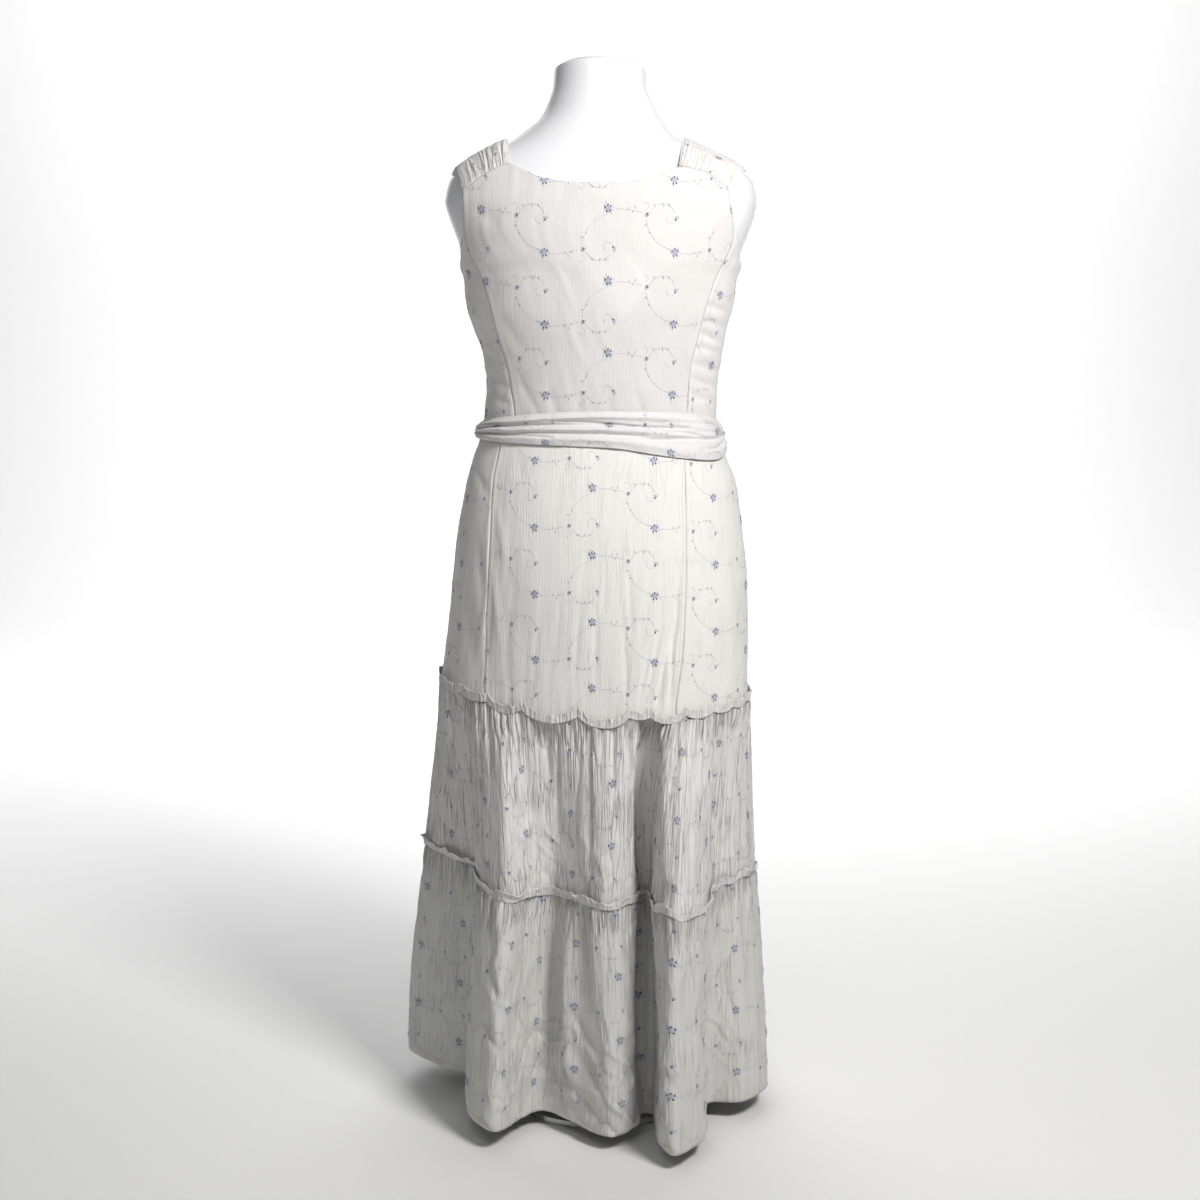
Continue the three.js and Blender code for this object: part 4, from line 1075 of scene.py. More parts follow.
# %% The big folds: turn at the hip, place at the lower seam, place at the hem, how soon they are full
FOLDS = [
    (2, (6, -165), (12, -182), 0.9), (12, (38, -140), (43, -150), 0.7),
    (18, (48, -94), (52, -110), 0.45), (21, (58, -96), (62, -111), 0.45),
    (25, (66, -176), (68, -196), 0.5), (33, (88, -209), (86, -238), 0.7),
    (43, (121, -168), (121, -196), 0.8), (52, (138, -86), (134, -82), 0.7),
    (66, (166, -66), (176, -82), 0.9), (90, (193, -12), (212, -26), 1.0),
    (107, (174, 44), (182, 42), 0.9), (118, (176, 90), (201, 96), 0.9),
    (129, (150, 122), (167, 140), 0.9), (141, (118, 114), (121, 112), 0.8),
    (151, (101, 164), (113, 186), 0.8), (161, (68, 178), (74, 206), 0.8),
    (171, (38, 137), (41, 138), 0.7), (181, (13, 171), (16, 196), 0.8),
    (192, (-27, 173), (-30, 201), 0.8), (203, (-62, 138), (-62, 140), 0.8),
    (213, (-92, 170), (-98, 195), 0.8), (224, (-127, 155), (-142, 175), 0.8),
    (236, (-151, 114), (-155, 108), 0.9), (247, (-182, 122), (-198, 136), 0.9),
    (257, (-212, 92), (-238, 98), 0.9), (270, (-222, 48), (-247, 52), 1.0),
    (287, (-186, 4), (-202, 10), 1.0), (300, (-152, -14), (-158, -20), 0.8),
    (311, (-149, -78), (-160, -130), 0.7), (325, (-112, -140), (-126, -180), 0.8),
    (344, (-58, -96), (-70, -106), 0.8),
]
LEFT_SIDE = 25 - len(FOLDS)
RIGHT_SIDE = 9


# %% A closed curve through the folds
def closed_curve(points):
    """A smooth closed curve through points, as a function of the point's number."""
    points = np.asarray(points, float)
    count = len(points)

    def at(place):
        first = np.floor(place).astype(int)
        t = (place - first)[..., None]
        p = [points[(first + k) % count] for k in (-1, 0, 1, 2)]
        d = [np.sqrt(np.linalg.norm(p[k + 1] - p[k], axis=-1, keepdims=True)) for k in range(3)]
        go = ((p[1] - p[0]) / d[0] - (p[2] - p[0]) / (d[0] + d[1]) + (p[2] - p[1]) / d[1]) * d[1]
        stop = ((p[2] - p[1]) / d[1] - (p[3] - p[1]) / (d[1] + d[2]) + (p[3] - p[2]) / d[2]) * d[1]
        a = 2 * p[1] - 2 * p[2] + go + stop
        b = -3 * p[1] + 3 * p[2] - 2 * go - stop
        return ((a * t + b) * t + go) * t + p[1]

    return at


middle_plan = closed_curve([fold[1] for fold in FOLDS])
hem_plan = closed_curve([fold[2] for fold in FOLDS])
laps = []
for lap in (-2, -1, 0, 1):
    laps += [(k + len(FOLDS) * lap, fold[0] + 360 * lap, fold[3]) for k, fold in enumerate(FOLDS)]
fold_turn, fold_sets = table_curves(laps)


# %% Points of the skirt
def lower_droop(place):
    """How far the lower seam hangs down at a place: more in some folds than in others."""
    return 4 + 3 * lumps(place * 0.9, 0, 61) + 2.5 * lumps(place * 2.7, 0, 62)


def on_skirt(place, first, second):
    """Points at places along the folds and at shares of the upper and of the lower tier's height."""
    turn = fold_turn(place)
    seam = on_dress(turn, np.full(np.shape(turn), float(TIER_ONE)))
    for _ in range(PASSES):
        seam = on_dress(turn, upper_seam(turn, seam))
    middle = middle_plan(place)
    hem = hem_plan(place)
    middle_z = TIER_TWO + rise(middle[..., 0]) - lower_droop(place)
    hem_z = HEM + rise(hem[..., 0]) * RISE_AT_HEM
    share = (first ** fold_sets(place))[..., None]
    flare = (1 - (1 - second) ** HEM_SETS)[..., None]
    upper = seam[..., :2] * (1 - share) + middle * share
    lower = middle * (1 - flare) + hem * flare
    below = (second > 0) | (first >= 1)
    xy = np.where(below[..., None], lower, upper)
    lower_z = middle_z * (1 - second) + hem_z * second
    z = np.where(below, lower_z, seam[..., 2] * (1 - first) + middle_z * first)
    return np.concatenate([xy, z[..., None]], axis=-1)


def even_places(first, second, back_columns, front_columns):
    """Places that part the back and the front of a level into equal lengths, and how far round they lie."""
    dense = np.linspace(LEFT_SIDE, LEFT_SIDE + len(FOLDS), 4001)
    ones = np.ones(dense.shape)
    run = lengths(on_skirt(dense, first * ones, second * ones)[None], 1)[0]
    side = np.interp(RIGHT_SIDE, dense, run)
    back = np.linspace(0, side, back_columns + 1)[:-1]
    front = np.linspace(side, run[-1], front_columns + 1)[:-1]
    across = np.concatenate([back, front])
    return np.interp(across, run, dense), across


# %% Gathers and rumples
def gathers(across, down, calm, seed):
    """Pleats below a seam, in millimetres of push. calm is how far down the fine crinkle fades."""
    reach = 40 + 20 * lumps(across / 13, 0, seed)
    sharp = -4.2 * (ridges(across / 4.4, down / 60, seed + 1, 1.5) - 0.35) * np.exp(-((down / reach) ** 1.5))
    long_reach = 115 + 55 * lumps(across / 24, 0, seed + 2)
    waves = 2.6 * lumps(across / 13, down / 170, seed + 3) * np.exp(-down / long_reach)
    soft = 2.0 * lumps(across / 27, down / 220, seed + 4)
    crinkle = 0.45 * lumps(across / 3.4, down / 26, seed + 5)
    crinkle = crinkle - 1.8 * ridges(across / 11, down / 60, seed + 6, 7)
    return sharp + waves + soft + crinkle * np.exp(-down / calm)


def rumples(across, up, reach, seed):
    """Diagonal crumples that die out towards the top."""
    fade = np.exp(-((up / reach) ** 2)) * (0.7 + 0.5 * lumps(across / 70, up / 90, seed + 3))
    one_way, other_way = (np.clip(0.45 + 1.1 * lumps(across / 58, up / 75, seed + k), 0, 1) for k in (6, 7))
    bent = across + 7 * lumps(across / 30, up / 30, seed + 4)
    a = ridges((bent + 0.9 * up) / 28, (up - 0.6 * bent) / 60, seed, 6)
    b = ridges((bent - 0.8 * up) / 31, (up + 0.7 * bent) / 64, seed + 1, 6)
    c = ridges((bent + 0.25 * up) / 22, up / 75, seed + 5, 5)
    crumples = 6.0 * a * one_way - 5.6 * b * other_way + 2.6 * c
    return fade * (crumples + 2.0 * lumps(bent / 22, up / 26, seed + 2))


# %% Creases of the tiers' back: x, z, x, z, width, height
TIER_ONE_CREASES = [
    (-113, 515, -112, 330, 7, 2.5), (-91, 485, -75, 322, 7, -3.2), (-50, 512, -49, 355, 3.4, -3.2),
    (-13, 508, -13, 325, 3.4, -2.8), (-31, 515, -30, 470, 3, -2.2), (14, 508, 16, 430, 3, -2.0),
    (32, 508, 38, 420, 3.5, -2.6), (75, 500, 76, 335, 6, 2.0), (66, 512, 65, 415, 3.2, -2.6),
    (90, 515, 90, 455, 3, -2.2), (104, 505, 110, 415, 3.2, -2.0), (141, 505, 137, 345, 4, -3.5),
    (154, 515, 156, 415, 3.2, -2.2), (-168, 540, -174, 460, 4, -3.0), (-159, 530, -165, 430, 4, -2.6),
    (51, 515, 49, 330, 6, -6.0), (-180, 520, -192, 400, 6, -2.5), (-66, 510, -60, 440, 3.2, -2.2),
    (-100, 508, -98, 450, 3, -2.0),
]
TIER_TWO_CREASES = [
    (-115, 290, -119, 100, 8, 2.5), (-122, 262, -130, 222, 4, -2.6), (-130, 222, -117, 165, 4.5, -2.6),
    (-118, 165, -110, 98, 4, -2.2), (-140, 150, -118, 120, 4, -2.2), (-56, 285, -53, 45, 9, -10.0),
    (-35, 288, -33, 50, 8, 9.0), (-46, 288, -47, 60, 4, -3.0), (-39, 75, 0, 35, 5, -2.6),
    (-30, 112, 14, 55, 6, -2.2), (-36, 165, -2, 112, 5, -1.9), (9, 285, 7, 175, 4, -1.7),
    (50, 290, 50, 50, 6, -6.0), (-84, 290, -88, 210, 4, -2.4), (-20, 290, -18, 225, 3.4, -2.2),
    (81, 262, 80, 30, 7, 2.0),
    (66, 262, 66, 60, 4, -2.2), (92, 190, 108, 130, 5, -2.0), (78, 120, 100, 70, 5, -2.2),
    (124, 280, 129, 235, 4, -2.6), (130, 228, 124, 168, 4, -2.6), (124, 160, 131, 90, 4, -2.6),
    (174, 292, 179, 230, 4, -3.0), (176, 100, 188, 55, 5, -3.0), (150, 180, 168, 120, 6, -2.0),
    (-190, 300, -196, 180, 6, -2.8), (-172, 290, -180, 130, 7, -2.4), (-210, 220, -214, 120, 7, -2.2),
]

# %% The two tiers
BACK_COLUMNS = 700
FRONT_COLUMNS = 440


def make_tier(
    name, rows, upper, seed, calm, reach, rumpled, creases, creasing, quiet, tucked, hem, gauze, above
):
    """A tier with its gathers, rumples, placed creases and tucks. Its lower edge hangs quietly."""
    places, across = even_places(1.0, 0.0 if upper else 1.0, BACK_COLUMNS, FRONT_COLUMNS)
    share = np.linspace(0, 1, rows)[:, None] ** 1.12
    ones = np.ones((rows, len(places)))
    grid = on_skirt(places * ones, share * ones if upper else ones, 0 * ones if upper else share * ones)
    down = lengths(grid, 0)
    up = down[-1:] - down
    across = across * ones
    sideways = np.clip((np.abs(grid[..., 0]) - 110) / 70, 0, 1)
    seen = (grid[..., 1] < 30) & (np.arange(len(places)) < BACK_COLUMNS)
    height = gathers(across, down, calm, seed)
    height += rumples(across, up, reach, seed + 20) * rumpled * (1 - 0.7 * sideways)
    height += creased(grid, creases) * seen * creasing
    height *= (0.35 + 0.65 * np.clip(down / 6, 0, 1)) * (0.5 + 0.5 * np.clip(up / quiet, 0, 1))
    tucks = np.exp(-((down / (37 + 13 * lumps(across / 11, 0, seed + 9))) ** 2))
    tucks = np.maximum(tucks, tucked * (1 + lumps(across / 40, down / 50, seed + 8)))
    wall = CLOTH + hem * np.exp(-((up / 9) ** 4))
    flat = np.stack([across, -down.mean(1)[:, None] * ones], axis=-1)
    ring_pieces(name, grid, height, wall, flat, BACK_COLUMNS, gauze, "gauze", "gathered", [above], tucks)


make_tier(
    "tier_one", 70, True, 71, calm=400, reach=110, rumpled=0.5, creases=TIER_ONE_CREASES, creasing=1.8,
    quiet=10, tucked=0.3, hem=0, gauze=tier_gauze, above="hip_back_centre_cloth",
)
make_tier(
    "tier_two", 78, False, 91, calm=70, reach=200, rumpled=1.25, creases=TIER_TWO_CREASES, creasing=1.5,
    quiet=5, tucked=0.12, hem=1, gauze=hem_gauze, above="tier_one_back_cloth",
)

# %% [markdown]
# ## The ruffles over the seams
# Above each tier the gathered edge stands up over the seam in a narrow ruffle, about a centimetre high. It
# lies on the cloth in the scallops and twists where the seam is pinched.


# %% A ruffle
def ruffle(name, level, behind, seed, frill, below):
    """A strip that stands up from a seam. 'behind' gives the cloth behind it at heights above the seam."""
    back_columns = 600
    front_columns = 360
    rows = 10
    places, across = even_places(*level, back_columns, front_columns)
    share = np.linspace(1, 0, rows)[:, None]
    ones = np.ones((rows, len(places)))
    across = across * ones
    tall = 10.5 + 1.2 * frill * lumps(across / 18, 0, seed) + 1.5 * lumps(across / 4.6, 0, seed + 1)
    climb = share * tall
    base = behind(places * ones, climb)
    ticks = 1.5 * ridges(across / 4.6, share * 0.6, seed + 3, 1.8) - 0.6
    wave = frill * (0.5 + 0.8 * lumps(across / 6.5, share * 0.5, seed + 2))
    twist = 1.8 * frill * ridges(across / 34, share * 0.4, seed + 4, 5)
    height = np.maximum(2.0 + ticks + share**1.4 * (wave + twist), 1.2)
    flat = np.stack([across, climb - 10], axis=-1)
    ring_pieces(name, base, height, 0.7, flat, back_columns, heading_gauze, "gauze", "gathered", [below], 0.5)


def behind_upper(places, climb):
    """The hip panels' surface over the upper seam."""
    turn = fold_turn(places)
    point = on_skirt(places, 0 * places, 0 * places)
    return on_dress(turn, point[..., 2] + climb)


def behind_lower(places, climb):
    """The upper tier's surface over the lower seam."""
    return on_skirt(places, 1 - climb / (TIER_ONE - TIER_TWO) - 1e-6, 0 * places)


ruffle("heading_one", (0.0, 0.0), behind_upper, 131, 1.0, "tier_one_back_cloth")
ruffle("heading_two", (1.0, 0.0), behind_lower, 151, 3.0, "tier_two_back_cloth")

# %% [markdown]
# ## The embroidery
# A small scroll of flowers, eyelets and vines repeats over the whole cloth. One repeat is drawn here as flat
# threads, in millimetres. Geometry Nodes lay copies of it on a grid in the cloth's flat measures and then
# lift each point to where that place of the cloth is. A texture could show it too, but real thread stands
# on the cloth and catches the light.


# %% Stitches of the chart
PALE, VINE, DARK = 0.0, 0.5, 1.0


class Chart:
    """Flat embroidery: points with their lift above the cloth, faces, and a shade for each point."""

    def __init__(self):
        self.points = []
        self.faces = []
        self.shades = []

    def stitch(self, start, end, width, shade, rise=0.4):
        """One stitch: pointed at both ends and round on top."""
        start = np.array(start, float)
        end = np.array(end, float)
        along = end - start
        side = np.array([-along[1], along[0]]) / np.hypot(*along) * width / 2
        middle = (start + end) / 2
        first = len(self.points)
        for point in (start, middle - side, end, middle + side):
            self.points.append((*point, 0.1))
        self.points.append((*middle, rise))
        self.shades += [shade] * 5
        self.faces += [[first + k, first + (k + 1) % 4, first + 4] for k in range(4)]

    def vine(self, through, width, pitch=3.3, length=2.9):
        """A row of stitches along a smooth line."""
        through = np.array(through, float)
        dense = np.linspace(0, len(through) - 1, 40 * len(through))
        curve = np.stack([through_points(through[:, k], dense) for k in (0, 1)], axis=-1)
        run = lengths(curve[None], 1)[0]
        for k in range(max(1, int(run[-1] // pitch))):
            ends = np.array([k * pitch, k * pitch + length])
            across, along = (np.interp(ends, run, curve[:, axis]) for axis in (0, 1))
            self.stitch(*zip(across, along), width, VINE)

    def spoke(self, x, y, angle, near, far, width, shade, rise=0.4):
        """A stitch that points away from x, y."""
        way = np.array([math.cos(math.radians(angle)), math.sin(math.radians(angle))])
        self.stitch((x, y) + way * near, (x, y) + way * far, width, shade, rise)


def through_points(values, at):
    """A smooth open curve through values."""
    padded = np.concatenate([[2 * values[0] - values[1]], values, [2 * values[-1] - values[-2]]])
    i = np.clip(np.floor(at).astype(int), 0, len(values) - 2)
    t = at - i
    p0, p1, p2, p3 = (padded[i + k] for k in range(4))
    bend = (2 * p0 - 5 * p1 + 4 * p2 - p3) * t**2 + (3 * p1 - p0 - 3 * p2 + p3) * t**3
    return 0.5 * (2 * p1 + (p2 - p0) * t + bend)


# %% One repeat of the scroll
REPEAT = (142, 77)
THREAD_LIFT = 0.3


def flower_cluster(chart, x, y, turn):
    """The biggest flower of the scroll: pale petals with thin tips and four dark drops."""
    for angle, far in ((10, 5.4), (72, 6.4), (128, 5.0), (200, 5.8), (262, 6.6), (322, 5.3)):
        chart.spoke(x, y, turn + angle, -1.4, far, 2.4, PALE, 0.3)
    for angle, far in ((40, 8.2), (150, 7.6), (235, 8.0), (300, 7.4)):
        chart.spoke(x, y, turn + angle, 4.4, far, 0.6, VINE)
    drops = (
        (-3.5, -0.9, -3.0, 2.8), (-0.5, 1.5, 0.2, 5.1), (2.7, 0.1, 3.3, 3.7), (-1.7, -5.3, -1.2, -1.6),
        (1.8, -4.6, 2.2, -1.4),
    )
    for x0, y0, x1, y1 in drops:
        chart.stitch((x + x0, y + y0), (x + x1, y + y1), 1.7, DARK, 0.6)


def eyelet(chart, x, y):
    """A small round flower: a pale ring with a dark drop in it."""
    for k in range(6):
        a = math.radians(60 * k)
        b = math.radians(60 * k + 66)
        ends = [(x + 2.2 * math.cos(c), y + 2.7 * math.sin(c)) for c in (a, b)]
        chart.stitch(*ends, 1.1, PALE if k % 3 else VINE)
    chart.stitch((x - 0.2, y - 1.5), (x + 0.4, y + 1.8), 2.1, DARK, 0.6)
    chart.spoke(x, y, 25, 2.6, 4.6, 0.6, VINE)


def bud(chart, x, y, turn):
    """A bud: two pale petals, a dark drop and two thin tips."""
    for angle in (-35, 40, 130):
        chart.spoke(x, y, turn + angle, 0.3, 3.2, 1.6, PALE, 0.3)
    chart.spoke(x, y, turn + 175, 0.2, 3.1, 1.9, DARK, 0.6)
    chart.spoke(x, y, turn - 10, 1.8, 4.6, 0.6, VINE)
    chart.spoke(x, y, turn + 85, 1.6, 4.0, 0.6, VINE)


def curl(chart, x, y, radius, start, sweep):
    """A tendril that winds inwards."""
    line = []
    for share in np.linspace(0, 1, 7):
        angle = math.radians(start + sweep * share)
        reach = radius * (1 - 0.4 * share)
        line.append((x + reach * math.cos(angle), y + reach * math.sin(angle)))
    chart.vine(line, 0.42)


def scroll_row(chart, x, y, up):
    """Half of the repeat: flower, sprig, eyelet, arc and bud. up is 1 for an arc above, -1 for one below."""
    flower_cluster(chart, x, y, 90 - 20 * up)
    ex, ey = x + 42, y - 2 - 5 * up
    bx, by = x + 75, y - 3.5 - 7.5 * up
    sprig = [(x + 8, y - 1), (x + 18, y - 1.5), (x + 28, y - 1.5 - 1.5 * up), (x + 38, y - 1 - 4 * up)]
    chart.vine(sprig, 0.42)
    for dx, angle, far in ((22, 70, 3.8), (26, -75, 3.6), (29, 80, 4.6)):
        chart.spoke(x + dx, y - 1.8, angle, 0.2, far, 1.0, VINE)
    eyelet(chart, ex, ey)
    arc = [
        (ex + 3, ey + 3 * up), (ex + 9, ey + 9 * up), (ex + 18, ey + 12 * up), (ex + 27, ey + 8 * up),
        (bx - 1, by + 4 * up),
    ]
    chart.vine(arc, 0.6)
    bud(chart, bx, by, 60 * up)
    curl(chart, bx - 7, by + 1 - up, 6.2, 20 * up, -300 * up)
    curl(chart, ex - 2, ey + 10 * up, 4.4, -90 * up, 290 * up)
    sweep = [
        (ex - 1, ey - 5 * up), (ex + 1, ey - 14 * up), (ex + 8, ey - 26 * up), (ex + 18, ey - 34 * up),
        (ex + 28, ey - 38 * up),
    ]
    chart.vine(sweep, 0.42)
    for dx, dy, angle, far, width in (
        (9, 9, 90 * up + 35, 3.6, 1.1), (18, 12, -80 * up, 3.8, 1.2), (25, 9, 100 * up, 3.4, 1.1),
        (0.5, -12, 150, 3.6, 1.2), (4, -20, 200 - 60 * up, 3.4, 1.1),
    ):
        chart.spoke(ex + dx, ey + dy * up, angle, 0.2, far, width, VINE)


chart = Chart()
scroll_row(chart, 0, 0, -1)
scroll_row(chart, 69, -30, 1)
scroll_mesh = plain_mesh("scroll_repeat", chart.points, [], chart.faces)
name_values(scroll_mesh, {"shade": chart.shades})
print("one repeat has", len(chart.faces), "triangles")


# %% The thread's material
def embroidery_thread(tree):
    """Cotton thread: its colour comes from the shade that the chart gave it, with fine strands across."""
    ramp = add_node(tree, "ShaderNodeValToRGB", {"Fac": point_value(tree, "shade")})
    stops = ramp.color_ramp.elements
    stops[0].position = 0.1
    stops[1].position = 0.9
    stops.new(VINE)
    for stop, colour in zip(stops, ((0.54, 0.55, 0.69, 1), (0.52, 0.52, 0.58, 1), (0.06, 0.065, 0.17, 1))):
        stop.color = colour
    strands = noise_over(tree, 1800)
    return {
        "Base Color": mixed(tree, ramp, strands, 0.35, blend_type="MULTIPLY"),
        "Normal": bumped(tree, strands, 0.5, 0.2 * MM),
        "Roughness": 0.6,
        "Sheen Weight": 0.3,
    }


thread = new_material("embroidery thread", embroidery_thread)

# %% [markdown]
# ## Laying the scroll on the cloth
# The node tree needs the cloth's outside alone, because the inside has the same flat measures. So each
# outside is made once as a helper surface, sampled, and taken away again.

# %% The start and the end of a node tree
def new_tree(name, kinds):
    """A Geometry Nodes tree: itself, what it is given, and its inputs' identifiers by name."""
    tree = bpy.data.node_groups.new(name, "GeometryNodeTree")
    socket = tree.interface.new_socket
    keys = {}
    for key, kind in {"Geometry": "Geometry", **kinds}.items():
        keys[key] = socket(key, in_out="INPUT", socket_type="NodeSocket" + kind).identifier
    socket("Geometry", in_out="OUTPUT", socket_type="NodeSocketGeometry")
    return tree, add_node(tree, "NodeGroupInput").outputs, keys


def end_tree(tree, geometry, material):
    """The end of a tree: its geometry in a material."""
    painted = add_node(tree, "GeometryNodeSetMaterial", {"Geometry": geometry, "Material": material})
    add_node(tree, "NodeGroupOutput", {"Geometry": painted})


def real_copies(tree, inputs):
    """Copies of a mesh on points, as one mesh."""
    copies = add_node(tree, "GeometryNodeInstanceOnPoints", inputs)
    return add_node(tree, "GeometryNodeRealizeInstances", {"Geometry": copies})


# %% The node tree that sews a flat chart on cloth
def make_sewing_tree():
    """Copies of the chart on a grid, lifted to the cloth."""
    tree, given, keys = new_tree("scroll on cloth", {
        "Cloth": "Object", "Columns": "Int", "Rows": "Int", "Across": "Float", "Down": "Float",
        "Middle": "Vector", "Size": "Float", "Lift": "Float", "Thread": "Material",
    })
    grid = {}
    for axis, count, step in (("X", "Columns", "Across"), ("Y", "Rows", "Down")):
        fewer = maths(tree, "SUBTRACT", given[count], 1)
        grid["Size " + axis] = maths(tree, "MULTIPLY", fewer, given[step])
        grid["Vertices " + axis] = given[count]
    grid = add_node(tree, "GeometryNodeMeshGrid", grid).outputs["Mesh"]
    spots = add_node(tree, "GeometryNodeTransform", {"Geometry": grid, "Translation": given["Middle"]})
    copies = real_copies(tree, {"Points": spots, "Instance": given["Geometry"], "Scale": given["Size"]})
    carrier = add_node(tree, "GeometryNodeObjectInfo", {"Object": given["Cloth"]}).outputs["Geometry"]
    flat = add_node(tree, "GeometryNodeInputNamedAttribute", {"Name": "flat"}, data_type="FLOAT_VECTOR")
    here = add_node(tree, "GeometryNodeInputPosition")
    point, normal = (
        add_node(
            tree, "GeometryNodeSampleUVSurface", {"Mesh": carrier, "Value": field, 2: flat, 3: here},
            data_type="FLOAT_VECTOR",
        ).outputs
        for field in (here, add_node(tree, "GeometryNodeInputNormal"))
    )
    off_cloth = add_node(tree, "FunctionNodeBooleanMath", {0: point["Is Valid"]}, operation="NOT")
    trimming = {"Geometry": copies, "Selection": off_cloth}
    trimmed = add_node(tree, "GeometryNodeDeleteGeometry", trimming, domain="POINT")
    height = add_node(tree, "ShaderNodeSeparateXYZ", {0: here}).outputs["Z"]
    raised = {0: normal["Value"], "Scale": maths(tree, "ADD", height, given["Lift"])}
    raised = add_node(tree, "ShaderNodeVectorMath", raised, operation="SCALE")
    target = add_node(tree, "ShaderNodeVectorMath", {0: point["Value"], 1: raised}, operation="ADD")
    moved = add_node(tree, "GeometryNodeSetPosition", {"Geometry": trimmed, "Position": target})
    end_tree(tree, moved, given["Thread"])
    return tree, keys


sewing_tree, sewing_keys = make_sewing_tree()
print("the sewing tree has", len(sewing_tree.nodes), "nodes")


# %% Running a tree and keeping its mesh
def grown_mesh(source, tree, keys, settings):
    """The plain mesh that a tree makes on a source mesh."""
    helper = placed("helper", source)
    modifier = helper.modifiers.new("growing", "NODES")
    modifier.node_group = tree
    for key, value in settings.items():
        modifier[keys[key]] = value
    bpy.context.view_layer.update()
    seen = helper.evaluated_get(bpy.context.evaluated_depsgraph_get())
    mesh = bpy.data.meshes.new_from_object(seen)
    bpy.data.objects.remove(helper)
    return mesh


def sewn_piece(name, meshes):
    """Several meshes as one piece of thread on the dress."""
    objects = [placed(name, mesh) for mesh in meshes]
    bpy.ops.object.select_all(action="DESELECT")
    for piece in objects:
        piece.select_set(True)
    bpy.context.view_layer.objects.active = objects[0]
    if len(objects) > 1:
        bpy.ops.object.join()
    whole = bpy.context.view_layer.objects.active
    whole.name = name
    whole.data.name = name
    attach(whole, "root")
    print(name, len(whole.data.polygons), "faces")


# %% Where a cluster of the scroll lies on each piece: x, z in flat measures, size of the repeat
SCROLL = {
    "bodice_embroidery": [
        ("bodice_back_centre", (-64.5, 973.5), 1.07), ("bodice_back_side_left", (-150, 950), 1.07),
        ("bodice_back_side_right", (131, 925), 1.07), ("bodice_front_centre", (30, 960), 1.07),
        ("bodice_front_side_left", (-120, 930), 1.07), ("bodice_front_side_right", (120, 940), 1.07),
        ("shoulder_left", (10, -60), 1.0), ("shoulder_right", (-10, -40), 1.0),
    ],
    "sash_embroidery": [("sash_back", (200, -20), 1.0), ("sash_front", (640, -26), 1.0)],
    "hip_embroidery": [
        ("hip_back_centre", (-78, 738), 1.0), ("hip_back_side_left", (-165, 765), 1.0),
        ("hip_back_side_right", (126, 770), 1.0), ("hip_front", (20, 730), 1.0),
    ],
    "tier_one_back_embroidery": [("tier_one_back", (60, -40), 1.0)],
    "tier_one_front_embroidery": [("tier_one_front", (60, -30), 1.0)],
    "tier_two_back_embroidery": [("tier_two_back", (20, -50), 1.0)],
    "tier_two_front_embroidery": [("tier_two_front", (90, -20), 1.0)],
}

# %% Sewing it on
for name, cloths in SCROLL.items():
    meshes = []
    for cloth_name, anchor, size in cloths:
        outer, _, flat = outsides[cloth_name]
        laid = flat.reshape(-1, 2)
        carrier = new_piece("carrier", outer.reshape(-1, 3), grid_faces(*outer.shape[:2]).tolist(), laid)
        low = laid.min(0)
        high = laid.max(0)
        repeat = np.array(REPEAT) * size
        counts = np.ceil((high - low) / repeat).astype(int) + 3
        middle = anchor + repeat * (np.round(((low + high) / 2 - anchor) / repeat) + 0.5 * ((counts + 1) % 2))
        meshes.append(grown_mesh(scroll_mesh, sewing_tree, sewing_keys, {
            "Cloth": carrier, "Columns": int(counts[0]), "Rows": int(counts[1]), "Across": repeat[0] * MM,
            "Down": repeat[1] * MM, "Middle": (middle[0] * MM, middle[1] * MM, 0.0), "Size": size,
            "Lift": THREAD_LIFT * MM, "Thread": thread,
        }))
        bpy.data.objects.remove(carrier)
    sewn_piece(name, meshes)

# %% [markdown]
# ## Visible stitching
# The hip seams are topstitched, and the hem is turned in and sewn down with two rows. Each stitch is a
# short round bar that a node tree lays along a line on the cloth.

# %% The node tree for a row of stitches
def make_stitch_tree():
    """Short bars along the edges of a mesh."""
    kinds = {"Pitch": "Float", "Length": "Float", "Radius": "Float", "Thread": "Material"}
    tree, given, keys = new_tree("row of stitches", kinds)
    line = add_node(tree, "GeometryNodeMeshToCurve", {"Mesh": given["Geometry"]})
    spacing = {"Curve": line, "Length": given["Pitch"]}
    spots = add_node(tree, "GeometryNodeCurveToPoints", spacing, mode="LENGTH").outputs
    bar = {"Vertices": 5, "Radius": given["Radius"], "Depth": given["Length"]}
    bar = add_node(tree, "GeometryNodeMeshCylinder", bar).outputs["Mesh"]
    aim = add_node(tree, "FunctionNodeAlignRotationToVector", {"Vector": spots["Tangent"]}, axis="Z")
    copies = real_copies(tree, {"Points": spots["Points"], "Instance": bar, "Rotation": aim})
    end_tree(tree, copies, given["Thread"])
    return tree, keys


stitch_tree, stitch_keys = make_stitch_tree()
print("the stitch tree has", len(stitch_tree.nodes), "nodes")


# %% Lines on the cloth
STITCH_LIFT = 0.25


def beside_seam(name, column):
    """A line down a panel at one of its columns."""
    outer, normals, _ = outsides[name]
    return outer[:, column] + normals[:, column] * STITCH_LIFT


def above_hem(name, away):
    """A line that keeps its distance from a piece's bottom edge."""
    outer, normals, _ = outsides[name]
    raised = outer + normals * STITCH_LIFT
    line = []
    for column in range(outer.shape[1]):
        run = lengths(outer[None, ::-1, column], 1)[0]
        line.append([np.interp(away, run, raised[::-1, column, k]) for k in range(3)])
    return np.array(line)


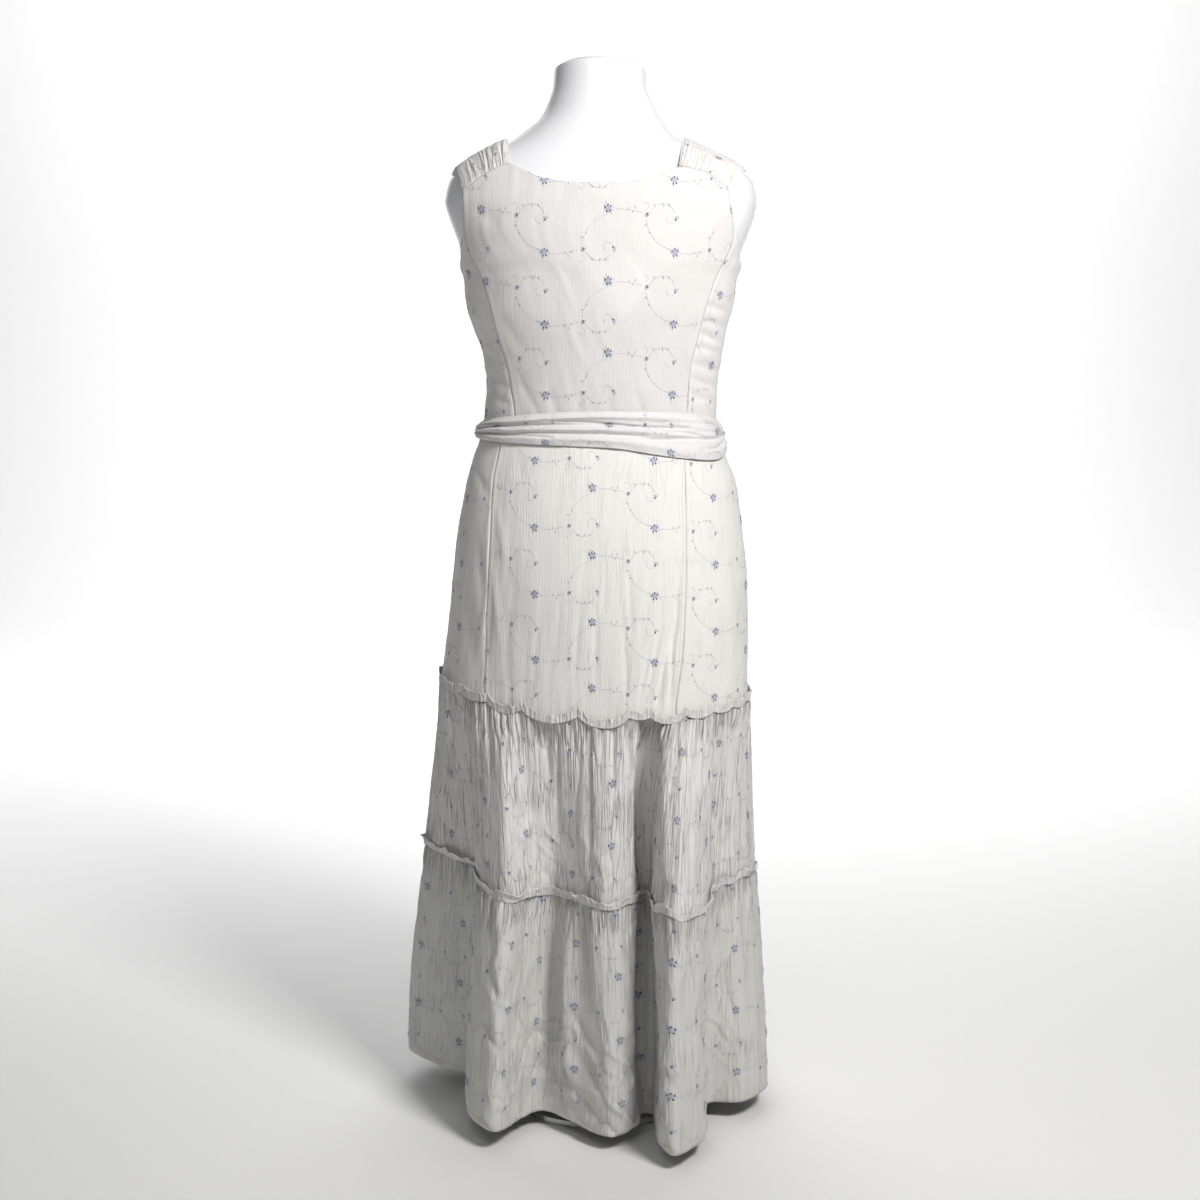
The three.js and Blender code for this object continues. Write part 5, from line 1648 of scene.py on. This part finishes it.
# %% The sewing thread and its rows
def sewing_thread(tree):
    """Ecru cotton thread with a slight twist."""
    twist = noise_over(tree, 1500)
    return {"Base Color": mixed(tree, (0.60, 0.58, 0.54, 1), (0.78, 0.76, 0.72, 1), twist), "Roughness": 0.75}


ecru_thread = new_material("sewing thread", sewing_thread)


def stitched(name, lines, pitch, length, radius):
    """Rows of stitches along lines, as one piece."""
    edges = []
    first = 0
    for line in lines:
        edges += [[first + k, first + k + 1] for k in range(len(line) - 1)]
        first += len(line)
    source = plain_mesh("lines", np.concatenate(lines), edges)
    settings = {"Pitch": pitch * MM, "Length": length * MM, "Radius": radius * MM, "Thread": ecru_thread}
    sewn_piece(name, [grown_mesh(source, stitch_tree, stitch_keys, settings)])


hip_lines = [beside_seam("hip_back_centre", column) for column in (3, -4)]
stitched("hip_seam_stitches", hip_lines, 3.4, 2.4, 0.2)
hem_lines = [above_hem(f"tier_two_{place}", away) for place in ("back", "front") for away in (7, 9.5)]
stitched("hem_stitches", hem_lines, 4.2, 2.8, 0.25)

# %% [markdown]
# ## The floor, and the box
# A plain pale floor carries the stand. The box of what is shown, without the floor, is printed.

# %% Floor: its profile from front to back, with the cove's curve in it
COVE_START, COVE_RADIUS = 3800, 1200
profile = [(-6000, 0), (COVE_START, 0)]
for angle in np.linspace(0, math.pi / 2, 17)[1:]:
    profile.append((COVE_START + COVE_RADIUS * math.sin(angle), COVE_RADIUS - COVE_RADIUS * math.cos(angle)))
profile.append((COVE_START + COVE_RADIUS, 7000))
floor_points = [(x, y, z) for y, z in profile for x in (-9000, 9000)]
floor_faces = [(2 * k, 2 * k + 1, 2 * k + 3, 2 * k + 2) for k in range(len(profile) - 1)]
floor = new_piece("floor", floor_points, floor_faces)
floor.data.materials.append(
    new_material("pale floor", lambda tree: {"Base Color": (0.92, 0.92, 0.92, 1), "Roughness": 0.8})
)
floor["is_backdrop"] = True

# %% Box
low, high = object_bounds()
print("visual box", [round(v, 3) for v in low], [round(v, 3) for v in high])
